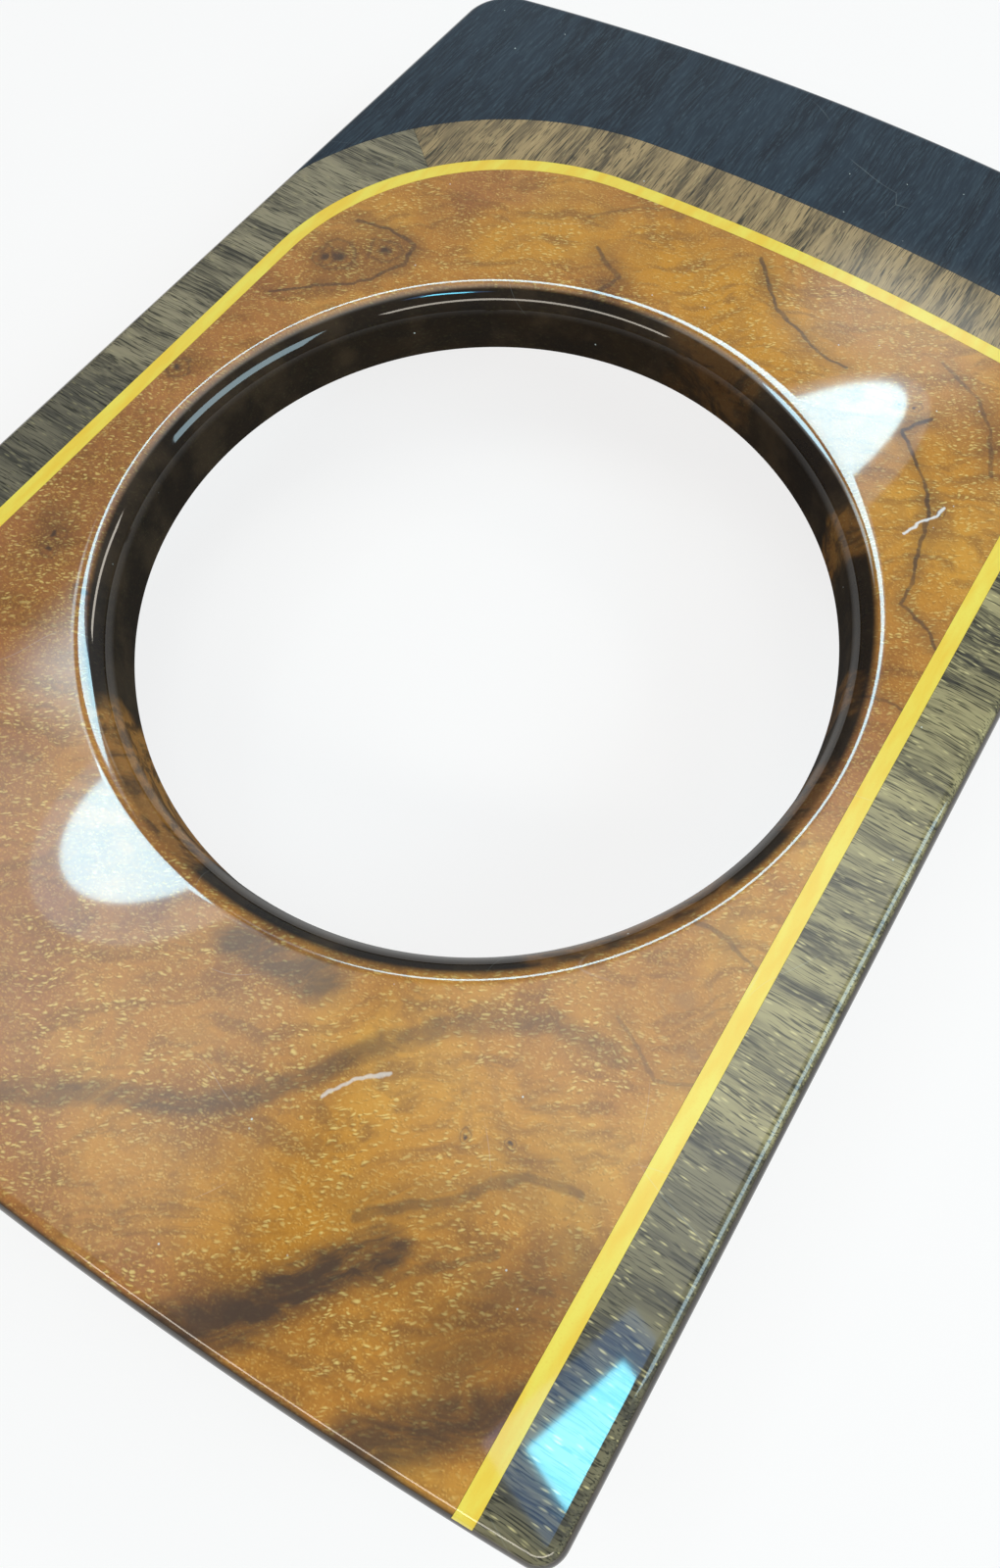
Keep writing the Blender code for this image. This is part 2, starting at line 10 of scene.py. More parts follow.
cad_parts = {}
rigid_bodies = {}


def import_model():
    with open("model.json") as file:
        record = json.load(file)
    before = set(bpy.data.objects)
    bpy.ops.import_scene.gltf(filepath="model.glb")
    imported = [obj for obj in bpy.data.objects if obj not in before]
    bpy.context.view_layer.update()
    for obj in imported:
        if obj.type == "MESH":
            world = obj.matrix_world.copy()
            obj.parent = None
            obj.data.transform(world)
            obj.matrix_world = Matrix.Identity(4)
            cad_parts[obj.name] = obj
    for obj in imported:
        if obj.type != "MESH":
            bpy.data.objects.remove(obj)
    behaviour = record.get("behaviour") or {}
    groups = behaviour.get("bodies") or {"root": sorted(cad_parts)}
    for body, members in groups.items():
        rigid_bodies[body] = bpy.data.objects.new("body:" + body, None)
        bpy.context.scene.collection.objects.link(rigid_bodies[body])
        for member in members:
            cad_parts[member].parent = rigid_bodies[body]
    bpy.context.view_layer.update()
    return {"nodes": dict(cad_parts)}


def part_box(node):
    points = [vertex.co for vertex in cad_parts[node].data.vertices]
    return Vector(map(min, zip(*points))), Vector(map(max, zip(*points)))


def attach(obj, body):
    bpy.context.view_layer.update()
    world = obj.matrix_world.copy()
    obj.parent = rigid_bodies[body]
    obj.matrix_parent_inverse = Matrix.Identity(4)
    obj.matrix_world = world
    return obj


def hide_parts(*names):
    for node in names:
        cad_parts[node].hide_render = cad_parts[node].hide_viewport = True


for leftover in list(bpy.data.objects):
    bpy.data.objects.remove(leftover)

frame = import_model()

# Plan of the show face, going outwards from the opening, which lies off the field's centre
OPENING_RADIUS = 0.0435
ROLL_RADIUS = 0.0035
OPENING_SHIFT_X = 0.0015
OPENING_SHIFT_Y = -0.0017
FIELD_SIDE_MARGIN = 0.003
FIELD_FAR_MARGIN = 0.0153
FIELD_NEAR_MARGIN = 0.0345
FIELD_FAR_BOW_RADIUS = 0.3
FAR_BOW_SHIFT = 0.011
LEFT_SIDE_LEAN = math.radians(1.4)
FIELD_LEFT_CORNER_RADIUS = 0.035
FIELD_RIGHT_CORNER_RADIUS = 0.011
STRINGING_WIDTH = 0.002
CROSSBAND_WIDTH = 0.0082
CROSSBAND_TRIM = 0.0003
LEFT_JOINT_ANGLE = math.radians(140)
RIGHT_JOINT_ANGLE = math.radians(45)
DARK_END_DEPTH = 0.0225
NEAR_BOW_RADIUS = 0.6
PANEL_FAR_CORNER_RADIUS = 0.008
PANEL_NEAR_CORNER_RADIUS = 0.003
EDGE_ROUNDING = 0.002
VENEER_JOINT = 0.00003

# Fixings on the back
STUD_RADIUS = 0.0025
STUD_PITCH = 0.0008
STUD_THREAD_DEPTH = 0.00045
STUD_THREAD_CREST = (0.43, 0.57)
STUD_TIP_CHAMFER = 0.0006
STUD_HEAD_THICKNESS = 0.0016
RETAINER_THICKNESS = 0.0015
RETAINER_POCKET_LENGTH = 0.013
RETAINER_JOGGLE_LENGTH = 0.002
RETAINER_CORNER_RADIUS = 0.003
RETAINER_BEND_RADIUS = 0.001
SCREW_RADIUS = 0.0016
SCREW_POINT_LENGTH = 0.0025
SCREW_HEAD_RADIUS = 0.0033
SCREW_HEAD_HEIGHT = 0.0022
SCREW_HEAD_FULLNESS = 0.5
SCREW_RECESS_LENGTH = 0.0036
SCREW_RECESS_WIDTH = 0.0009
SCREW_RECESS_DEPTH = 0.0012
FIT_GAP = 0.0002
METAL_EDGE = 0.00015

# Heights, read from the frame
SHOW_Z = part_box("burr_field_veneer")[1].z
BACK_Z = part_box("balancing_veneer")[0].z
BOARD_BOTTOM_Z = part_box("core_board")[0].z
VENEER_BOTTOM_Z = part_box("boxwood_stringing")[0].z
VENEER_THICKNESS = SHOW_Z - VENEER_BOTTOM_Z

# How finely the shapes are divided
CHORD_ERROR = 0.000002
ROLL_STEPS = 28
RING_STEPS = 288
EDGE_STEPS = 14
NEAR_EDGE_CUTS = 60
THREAD_STEPS = 24
HEAD_STEPS = 10
ROUND_STEPS = 48
BEND_STEPS = 4
CORNER_STEPS = 8
WORN_EDGE_STEPS = 2
GUARD_ROW = 0.0001
TRIM_MARGIN = 0.004
WELD_DISTANCE = 0.000001
SMOOTH_ANGLE = math.radians(35)

LEFT = -1
RIGHT = 1
FAR = 1
NEAR = -1
FACING = {LEFT: math.pi - LEFT_SIDE_LEAN, RIGHT: 0.0}
UP = Vector((0, 0, 1))

# Plan sizes that follow
ROLL_START_RADIUS = OPENING_RADIUS + ROLL_RADIUS
FIELD_HALF_WIDTH = ROLL_START_RADIUS + FIELD_SIDE_MARGIN
FIELD_FAR_REACH = ROLL_START_RADIUS + FIELD_FAR_MARGIN
SHOW_BORDER = STRINGING_WIDTH + CROSSBAND_WIDTH
PANEL_HALF_WIDTH = FIELD_HALF_WIDTH + SHOW_BORDER - CROSSBAND_TRIM
PANEL_NEAR_REACH = ROLL_START_RADIUS + FIELD_NEAR_MARGIN
PANEL_FAR_REACH = FIELD_FAR_REACH + SHOW_BORDER + DARK_END_DEPTH
PANEL_FAR_BOW_RADIUS = FIELD_FAR_BOW_RADIUS + SHOW_BORDER + DARK_END_DEPTH
FAR_BOW_CENTRE = Vector((FAR_BOW_SHIFT, FIELD_FAR_REACH - FIELD_FAR_BOW_RADIUS))
NEAR_BOW_CENTRE = Vector((0, NEAR_BOW_RADIUS - PANEL_NEAR_REACH))


def polar(radius, angle):
    return Vector((radius * math.cos(angle), radius * math.sin(angle)))


def heading(vector):
    return math.atan2(vector.y, vector.x)


def side_axes(side):
    """The outward and the forward direction of the panel's left or right side."""
    outward = polar(1, FACING[side])
    return outward, side * Vector((-outward.y, outward.x))


def corner_centre(side, end, reach, radius, bow_centre, bow_radius):
    """Centre of the arc that turns a side, at this reach, into the bowed far or near end."""
    outward, forward = side_axes(side)
    start = outward * (reach - radius)
    along = (start - bow_centre).dot(forward)
    run = math.sqrt(along ** 2 - (start - bow_centre).length_squared + (bow_radius - radius) ** 2)
    return start + forward * (end * run - along)


def near_corner(side):
    return corner_centre(
        side, NEAR, PANEL_HALF_WIDTH, PANEL_NEAR_CORNER_RADIUS, NEAR_BOW_CENTRE, NEAR_BOW_RADIUS
    )


# Where the field's centre and the opening lie from the middle of the panel
PANEL_LEFT_REACH = PANEL_NEAR_CORNER_RADIUS - near_corner(LEFT).x
PANEL_HALF_SPAN = (PANEL_LEFT_REACH + PANEL_HALF_WIDTH) / 2
FIELD_X = PANEL_LEFT_REACH - PANEL_HALF_SPAN
FIELD_Y = (PANEL_NEAR_REACH - PANEL_FAR_REACH) / 2
FIELD_CENTRE = Vector((FIELD_X, FIELD_Y, 0))
OPENING_SHIFT = Vector((OPENING_SHIFT_X, OPENING_SHIFT_Y, 0))
OPENING_CENTRE = FIELD_CENTRE + OPENING_SHIFT


def end_arcs(reach, bow_radius, left_radius, right_radius):
    """Centre, radius and first and last direction of each arc round a far end, left to right."""
    left = corner_centre(LEFT, FAR, reach, left_radius, FAR_BOW_CENTRE, bow_radius)
    right = corner_centre(RIGHT, FAR, reach, right_radius, FAR_BOW_CENTRE, bow_radius)
    left_turn = heading(left - FAR_BOW_CENTRE)
    right_turn = heading(right - FAR_BOW_CENTRE)
    return [
        (left, left_radius, FACING[LEFT], left_turn),
        (FAR_BOW_CENTRE, bow_radius, left_turn, right_turn),
        (right, right_radius, right_turn, FACING[RIGHT]),
    ]


def near_arcs():
    """The arcs round the panel's near end, right to left."""
    right_turn = heading(near_corner(RIGHT) - NEAR_BOW_CENTRE)
    left_turn = heading(near_corner(LEFT) - NEAR_BOW_CENTRE)
    return [
        (near_corner(RIGHT), PANEL_NEAR_CORNER_RADIUS, FACING[RIGHT], right_turn),
        (NEAR_BOW_CENTRE, NEAR_BOW_RADIUS, right_turn, left_turn),
        (near_corner(LEFT), PANEL_NEAR_CORNER_RADIUS, left_turn, FACING[LEFT] - math.tau),
    ]


FIELD_END = end_arcs(
    FIELD_HALF_WIDTH, FIELD_FAR_BOW_RADIUS, FIELD_LEFT_CORNER_RADIUS, FIELD_RIGHT_CORNER_RADIUS
)
PANEL_END = end_arcs(
    PANEL_HALF_WIDTH, PANEL_FAR_BOW_RADIUS, PANEL_FAR_CORNER_RADIUS, PANEL_FAR_CORNER_RADIUS
)


# Sweeps and cuts

def lifted(point, height):
    """A plan point, measured from the field's centre, as a place in the frame."""
    return FIELD_CENTRE + Vector((point.x, point.y, height))


def parts_of(geometry, kind):
    return [item for item in geometry if isinstance(item, kind)]


def extruded(shape, front, offset):
    """Draws a front of vertices or edges along a straight run and returns the new front."""
    edges = parts_of(front, bmesh.types.BMEdge)
    if edges:
        grown = bmesh.ops.extrude_edge_only(shape, edges=edges)["geom"]
    else:
        grown = bmesh.ops.extrude_vert_indiv(shape, verts=front)["verts"]
    verts = parts_of(grown, bmesh.types.BMVert)
    bmesh.ops.translate(shape, vec=offset, verts=verts)
    leading = [edge for edge in parts_of(grown, bmesh.types.BMEdge) if set(edge.verts) <= set(verts)]
    return verts + leading


def turned(shape, front, centre, radius, angle):
    """Spins a front about an upright axis, finely enough for this radius, and returns the new front."""
    widest = 2 * math.acos(1 - CHORD_ERROR / radius)
    steps = max(1, math.ceil(abs(angle) / widest))
    place = lifted(centre, 0)
    return bmesh.ops.spin(shape, geom=front, cent=place, axis=UP, angle=angle, steps=steps)["geom_last"]


def section(shape, places):
    """A row of joined vertices that starts a sweep."""
    verts = [shape.verts.new(place) for place in places]
    edges = [shape.edges.new(pair) for pair in zip(verts, verts[1:])]
    return verts + edges


def sweep_arcs(shape, front, arcs, start, end):
    """Sweeps a front round the arcs between two directions of their outward normal."""
    for centre, radius, first, last in arcs:
        begin = min(first, start)
        stop = max(last, end)
        if begin > stop:
            front = turned(shape, front, centre, radius, stop - begin)
    return front


def side_place(side, offset, along, height):
    """A place on the line at this offset outside one side of the field, this far along the side."""
    outward, forward = side_axes(side)
    return lifted(outward * (FIELD_HALF_WIDTH + offset) + forward * along, height)


def arc_place(arc, offset, angle, height):
    centre, radius, *_ = arc
    return lifted(centre + polar(radius + offset, angle), height)


NEAR_ALONG = -(PANEL_NEAR_REACH + TRIM_MARGIN)
LEFT_RUN = FIELD_END[0][0].dot(side_axes(LEFT)[1]) - NEAR_ALONG
RIGHT_RUN = FIELD_END[2][0].dot(side_axes(RIGHT)[1]) - NEAR_ALONG
LEFT_ADVANCE = side_axes(LEFT)[1].to_3d() * LEFT_RUN
RIGHT_RETREAT = side_axes(RIGHT)[1].to_3d() * -RIGHT_RUN


def sweep_band(shape, offsets, height, start=math.pi, end=0.0):
    """A band round the field between two directions; it takes in the sides if it reaches them."""
    if start > FACING[LEFT]:
        front = section(shape, [side_place(LEFT, offset, NEAR_ALONG, height) for offset in offsets])
        front = extruded(shape, front, LEFT_ADVANCE)
    else:
        arc = next(arc for arc in FIELD_END if arc[2] >= start > arc[3])
        front = section(shape, [arc_place(arc, offset, start, height) for offset in offsets])
    front = sweep_arcs(shape, front, FIELD_END, start, end)
    if end <= FACING[RIGHT]:
        extruded(shape, front, RIGHT_RETREAT)


def thicken(shape, depth):
    """Gives flat faces a depth, straight down."""
    grown = bmesh.ops.extrude_face_region(shape, geom=shape.faces[:], use_keep_orig=True)["geom"]
    bmesh.ops.translate(shape, vec=-depth * UP, verts=parts_of(grown, bmesh.types.BMVert))


def point_outwards(shape):
    bmesh.ops.remove_doubles(shape, verts=shape.verts, dist=WELD_DISTANCE)
    bmesh.ops.recalc_face_normals(shape, faces=shape.faces)


def rounded(shape, corners, radius, steps, kind="EDGES"):
    """Rounds edges, or the corners of a flat sheet, over."""
    bmesh.ops.bevel(
        shape, geom=corners, offset=radius, segments=steps, profile=0.5, affect=kind, material=-1
    )


def sliced(shape, height, direction):
    """Cuts off what lies beyond a level plane and closes the cut."""
    everything = shape.verts[:] + shape.edges[:] + shape.faces[:]
    bmesh.ops.bisect_plane(
        shape, geom=everything, plane_co=height * UP, plane_no=direction, clear_outer=True
    )
    bmesh.ops.edgeloop_fill(shape, edges=[edge for edge in shape.edges if edge.is_boundary])


def settled(shape):
    """Merges doubles, points the faces outwards and returns the shape as a mesh."""
    point_outwards(shape)
    mesh = bpy.data.meshes.new("shape")
    shape.to_mesh(mesh)
    shape.free()
    return mesh


def lathe(axis, profile, steps):
    """A solid turned about an upright axis, from a profile of radius and height."""
    shape = bmesh.new()
    bmesh.ops.spin(
        shape,
        geom=section(shape, [(axis.x + radius, axis.y, height) for radius, height in profile]),
        cent=axis,
        axis=UP,
        angle=math.tau,
        steps=steps,
        use_merge=True,
    )
    return settled(shape)


def loose(mesh):
    """An object that only lends its mesh to a cut."""
    item = bpy.data.objects.new("blank", mesh)
    bpy.context.scene.collection.objects.link(item)
    return item


def cut(mesh, operation, *cutters):
    """The mesh after a Boolean operation with each cutter's mesh."""
    blank = loose(mesh)
    helpers = [loose(cutter) for cutter in cutters]
    for helper in helpers:
        modifier = blank.modifiers.new("cut", "BOOLEAN")
        modifier.operation = operation
        modifier.solver = "EXACT"
        modifier.object = helper
    bpy.context.view_layer.update()
    graph = bpy.context.evaluated_depsgraph_get()
    result = bpy.data.meshes.new_from_object(blank.evaluated_get(graph))
    for item in [blank, *helpers]:
        bpy.data.objects.remove(item)
    return result


def add_piece(name, mesh, material, node):
    """Puts a finished mesh on the panel in place of its plain solid."""
    mesh.materials.clear()
    mesh.materials.append(material)
    mesh.shade_smooth()
    mesh.set_sharp_from_angle(angle=SMOOTH_ANGLE)
    mesh.name = name
    piece = bpy.data.objects.new(name, mesh)
    bpy.context.scene.collection.objects.link(piece)
    shading = piece.modifiers.new("even_shading", "WEIGHTED_NORMAL")
    shading.keep_sharp = True
    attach(piece, "root")
    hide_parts(node)
    return piece


# Board and veneers

def panel_form():
    """The whole panel as one block, with its show edge rounded over."""
    shape = bmesh.new()
    front = section(shape, [arc_place(PANEL_END[0], 0, FACING[LEFT], SHOW_Z)])
    first = front[0]
    front = sweep_arcs(shape, front, PANEL_END, math.pi, 0)
    right_side = near_arcs()[0][0].y - PANEL_END[2][0].y
    front = extruded(shape, front, Vector((0, right_side, 0)))
    front = sweep_arcs(shape, front, near_arcs(), 0, -math.tau)
    shape.edges.new((parts_of(front, bmesh.types.BMVert)[0], first))
    bmesh.ops.edgeloop_fill(shape, edges=shape.edges[:])
    thicken(shape, SHOW_Z - BACK_Z + TRIM_MARGIN)
    top = max(shape.faces, key=lambda face: face.calc_center_median().z)
    rounded(shape, top.edges[:], EDGE_ROUNDING, EDGE_STEPS)
    return settled(shape)


PANEL_FORM = panel_form()


def near_edge_y(x):
    """Where the near edge starts to round over, from the field's centre, at this x."""
    return NEAR_BOW_CENTRE.y - math.sqrt((NEAR_BOW_RADIUS - EDGE_ROUNDING) ** 2 - x ** 2)


def round_near_edge(shape):
    """Seats the near ends on the panel's near edge and draws them down its rounding to the board."""
    low = min(vert.co.y for vert in shape.verts) + TRIM_MARGIN / 2
    front = [edge for edge in shape.edges if all(vert.co.y < low for vert in edge.verts)]
    for vert in {vert for edge in front for vert in edge.verts}:
        forward = side_axes(LEFT if vert.co.x < FIELD_X else RIGHT)[1]
        target = FIELD_Y + near_edge_y(vert.co.x - FIELD_X) + GUARD_ROW
        vert.co += forward.to_3d() * (target - vert.co.y) / forward.y
    front = extruded(shape, front, Vector((0, -GUARD_ROW, 0)))
    full_turn = math.acos(1 - VENEER_THICKNESS / EDGE_ROUNDING)
    turns = [full_turn * step / EDGE_STEPS for step in range(EDGE_STEPS + 1)]
    for before, after in zip(turns, turns[1:]):
        out = EDGE_ROUNDING * (math.sin(after) - math.sin(before))
        drop = EDGE_ROUNDING * (math.cos(before) - math.cos(after))
        front = extruded(shape, front, Vector((0, -out, -drop)))


def shell(shape):
    """Gives a veneer its thickness, with a flat underside outside the opening's roll."""
    point_outwards(shape)
    if sum(face.normal.z * face.calc_area() for face in shape.faces) < 0:
        bmesh.ops.reverse_faces(shape, faces=shape.faces)
    bmesh.ops.solidify(shape, geom=shape.faces[:], thickness=VENEER_THICKNESS)
    for vert in shape.verts:
        if (vert.co - OPENING_CENTRE).xy.length > ROLL_START_RADIUS:
            vert.co.z = max(vert.co.z, VENEER_BOTTOM_Z)


def roll_profile(radius):
    """Radius and height down a roll into the opening, from the show face to the back."""
    points = []
    for step in range(ROLL_STEPS + 1):
        turn = math.pi / 2 * step / ROLL_STEPS
        down = ROLL_RADIUS - radius * math.cos(turn)
        points.append((ROLL_START_RADIUS - radius * math.sin(turn), SHOW_Z - down))
    return points + [(ROLL_START_RADIUS - radius, BACK_Z)]


def build_burr_field(material):
    """The burr leaf: a flat sheet that rolls over into the opening and lines it to the back."""
    shape = bmesh.new()
    sweep_band(shape, [-VENEER_JOINT / 2], SHOW_Z)
    ends = [vert for vert in shape.verts if len(vert.link_edges) == 1]
    near_line = shape.edges.new(ends)
    bmesh.ops.subdivide_edges(shape, edges=[near_line], cuts=NEAR_EDGE_CUTS)
    ring_radius = ROLL_START_RADIUS + GUARD_ROW
    circle = bmesh.ops.create_circle(
        shape,
        segments=RING_STEPS,
        radius=ring_radius,
        matrix=Matrix.Translation(OPENING_CENTRE + SHOW_Z * UP),
    )["verts"]
    front = list({edge for vert in circle for edge in vert.link_edges})
    bmesh.ops.triangle_fill(shape, edges=shape.edges[:], use_beauty=True, normal=UP)
    ring_height = SHOW_Z
    axis = Matrix.Translation(-OPENING_CENTRE)
    for radius, height in roll_profile(ROLL_RADIUS):
        front = extruded(shape, front, UP * (height - ring_height))
        growth = radius / ring_radius
        verts = parts_of(front, bmesh.types.BMVert)
        bmesh.ops.scale(shape, vec=(growth, growth, 1), space=axis, verts=verts)
        ring_radius = radius
        ring_height = height
    round_near_edge(shape)
    shell(shape)
    add_piece("burr_leaf", settled(shape), material, "burr_field_veneer")


def build_boxwood_line(material):
    shape = bmesh.new()
    sweep_band(shape, [VENEER_JOINT / 2, STRINGING_WIDTH - VENEER_JOINT / 2], SHOW_Z)
    round_near_edge(shape)
    shell(shape)
    add_piece("boxwood_line", settled(shape), material, "boxwood_stringing")


BLANK_Z = SHOW_Z + TRIM_MARGIN


def trimmed(shape):
    """Thickens a flat blank and trims it to the panel's rounded edge."""
    thicken(shape, BLANK_Z - VENEER_BOTTOM_Z)
    return cut(settled(shape), "INTERSECT", PANEL_FORM)


def build_bands(materials):
    """Three bands outside the boxwood line, butted together on a radius of each far corner."""
    offsets = [STRINGING_WIDTH + VENEER_JOINT / 2, SHOW_BORDER - VENEER_JOINT / 2]
    gap = VENEER_JOINT / 2 / FIELD_LEFT_CORNER_RADIUS
    reaches = {
        "left": (math.pi, LEFT_JOINT_ANGLE + gap),
        "far": (LEFT_JOINT_ANGLE - gap, RIGHT_JOINT_ANGLE + gap),
        "right": (RIGHT_JOINT_ANGLE - gap, 0.0),
    }
    for place, (start, end) in reaches.items():
        shape = bmesh.new()
        sweep_band(shape, offsets, BLANK_Z, start, end)
        material = materials[place]
        add_piece("band_" + place, trimmed(shape), material, "crossband_" + place)


def build_dark_end(material):
    shape = bmesh.new()
    offset = SHOW_BORDER + VENEER_JOINT / 2
    front = section(shape, [arc_place(FIELD_END[0], offset, FACING[LEFT], BLANK_Z)])
    first = front[0]
    front = sweep_arcs(shape, front, FIELD_END, math.pi, 0)
    beyond = 2 * TRIM_MARGIN
    front = extruded(shape, front, Vector((beyond, 0, 0)))
    rise = FIELD_Y + PANEL_FAR_REACH + TRIM_MARGIN - front[0].co.y
    front = extruded(shape, front, Vector((0, rise, 0)))
    front = extruded(shape, front, Vector((-2 * (PANEL_HALF_SPAN + beyond), 0, 0)))
    front = extruded(shape, front, Vector((0, first.co.y - front[0].co.y, 0)))
    shape.edges.new((front[0], first))
    bmesh.ops.edgeloop_fill(shape, edges=shape.edges[:])
    add_piece("dark_leaf", trimmed(shape), material, "dark_end_veneer")


def build_board(material):
    """The board under the veneers, rounded over with them, with the opening routed through it."""
    shape = bmesh.new()
    shape.from_mesh(PANEL_FORM)
    sliced(shape, VENEER_BOTTOM_Z, UP)
    sliced(shape, BOARD_BOTTOM_Z, -UP)
    profile = roll_profile(ROLL_RADIUS - VENEER_THICKNESS)
    profile = [(0, SHOW_Z), (ROLL_START_RADIUS, SHOW_Z), *profile, (0, BACK_Z)]
    routed = lathe(OPENING_CENTRE, profile, RING_STEPS // 2)
    mesh = cut(settled(shape), "DIFFERENCE", routed)
    add_piece("plywood_board", mesh, material, "core_board")


# Fixings

def middle_of(node):
    low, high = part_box(node)
    return (low + high) / 2


def round_bar(place, radius, bottom, top):
    """An upright round bar, also used to drill holes."""
    shape = bmesh.new()
    bmesh.ops.create_cone(
        shape,
        cap_ends=True,
        segments=ROUND_STEPS,
        radius1=radius,
        radius2=radius,
        depth=top - bottom,
        matrix=Matrix.Translation((place.x, place.y, (bottom + top) / 2)),
    )
    return settled(shape)


def soften(piece):
    """A small rounding on a metal piece's edges, before its shading is evened out."""
    rounding = piece.modifiers.new("worn_edges", "BEVEL")
    rounding.width = METAL_EDGE
    rounding.segments = WORN_EDGE_STEPS
    rounding.limit_method = "ANGLE"
    piece.modifiers.move(1, 0)


def stud_mesh(node):
    """A stud with a rolled thread, hung from a flat round head."""
    low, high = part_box(node)
    axis = middle_of(node)
    neck = high.z - STUD_HEAD_THICKNESS
    root = STUD_RADIUS - STUD_THREAD_DEPTH
    tooth = [(root, 0), *((STUD_RADIUS, share) for share in STUD_THREAD_CREST), (root, 1)]
    shape = bmesh.new()
    start = low.z - STUD_PITCH
    rows = [(axis.x + radius, axis.y, start + share * STUD_PITCH) for radius, share in tooth]
    turns = math.ceil((neck - start) / STUD_PITCH) + 1
    bmesh.ops.spin(
        shape,
        geom=section(shape, rows),
        cent=axis,
        axis=UP,
        dvec=UP * STUD_PITCH / THREAD_STEPS,
        angle=math.tau * turns,
        steps=turns * THREAD_STEPS,
    )
    bmesh.ops.remove_doubles(shape, verts=shape.verts, dist=WELD_DISTANCE)
    sliced(shape, low.z, -UP)
    sliced(shape, neck + METAL_EDGE, UP)
    for vert in shape.verts:
        from_axis = (vert.co - axis).xy
        widest = STUD_RADIUS - STUD_TIP_CHAMFER + vert.co.z - low.z
        if from_axis.length > widest:
            from_axis *= widest / from_axis.length
            vert.co.xy = axis.xy + from_axis
    head = round_bar(axis, (high.x - low.x) / 2, neck, high.z)
    return cut(settled(shape), "UNION", head)


def retainer_mesh(node, screw_nodes):
    """A pressed strip whose joggled middle traps the stud's head, screwed down through its feet."""
    low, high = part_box(node)
    axis = middle_of(node)
    pocket = RETAINER_POCKET_LENGTH / 2
    joggle = pocket + RETAINER_JOGGLE_LENGTH
    foot = (high.x - low.x) / 2
    rise = low.z + RETAINER_THICKNESS
    crests = [(-foot, high.z), (-joggle, high.z), (-pocket, rise)]
    crests += [(-x, z) for x, z in reversed(crests)]
    shape = bmesh.new()
    front = section(shape, [(axis.x + x, low.y, z) for x, z in crests])
    extruded(shape, front, Vector((0, high.y - low.y, 0)))
    point_outwards(shape)
    if shape.faces[:][0].normal.z < 0:
        bmesh.ops.reverse_faces(shape, faces=shape.faces)
    bends = [edge for edge in shape.edges if not edge.is_boundary]
    rounded(shape, bends, RETAINER_BEND_RADIUS, BEND_STEPS)
    corners = [vert for vert in shape.verts if abs(abs(vert.co.x - axis.x) - foot) < WELD_DISTANCE]
    rounded(shape, corners, RETAINER_CORNER_RADIUS, CORNER_STEPS, "VERTICES")
    bmesh.ops.solidify(shape, geom=shape.faces[:], thickness=RETAINER_THICKNESS)
    drills = [round_bar(axis, STUD_RADIUS + FIT_GAP, 0, SHOW_Z)]
    drills += [round_bar(middle_of(screw), SCREW_RADIUS + FIT_GAP, 0, SHOW_Z) for screw in screw_nodes]
    return cut(settled(shape), "DIFFERENCE", *drills)


def screw_mesh(node):
    """A pan-headed wood screw, point up, with a cross recess in its head."""
    low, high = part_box(node)
    axis = middle_of(node)
    seat = low.z + SCREW_HEAD_HEIGHT
    profile = [(0, high.z), (SCREW_RADIUS, high.z - SCREW_POINT_LENGTH), (SCREW_RADIUS, seat)]
    for step in range(HEAD_STEPS + 1):
        turn = math.pi / 2 * step / HEAD_STEPS
        radius = SCREW_HEAD_RADIUS * math.cos(turn) ** SCREW_HEAD_FULLNESS
        profile.append((radius, seat - SCREW_HEAD_HEIGHT * math.sin(turn)))
    slots = []
    for length, width in (
        (SCREW_RECESS_LENGTH, SCREW_RECESS_WIDTH),
        (SCREW_RECESS_WIDTH, SCREW_RECESS_LENGTH),
    ):
        slot = bmesh.new()
        size = Matrix.Diagonal((length, width, 2 * SCREW_RECESS_DEPTH, 1))
        bmesh.ops.create_cube(slot, size=1, matrix=Matrix.Translation((axis.x, axis.y, low.z)) @ size)
        slots.append(settled(slot))
    return cut(lathe(axis, profile, ROUND_STEPS), "DIFFERENCE", *slots)


def build_fixings(steel, zinc):
    for corner in ("near_left", "near_right", "far_left", "far_right"):
        stud = "stud_" + corner
        retainer = "stud_retainer_" + corner
        screws = ["screw_" + corner + "_" + side for side in ("left", "right")]
        add_piece("threaded_" + stud, stud_mesh(stud), steel, stud)
        plate = add_piece(
            "pressed_" + retainer, retainer_mesh(retainer, screws), zinc, retainer
        )
        soften(plate)
        for screw in screws:
            soften(add_piece("cross_" + screw, screw_mesh(screw), steel, screw))


# Node trees

FLAT = (1, 1, 0)


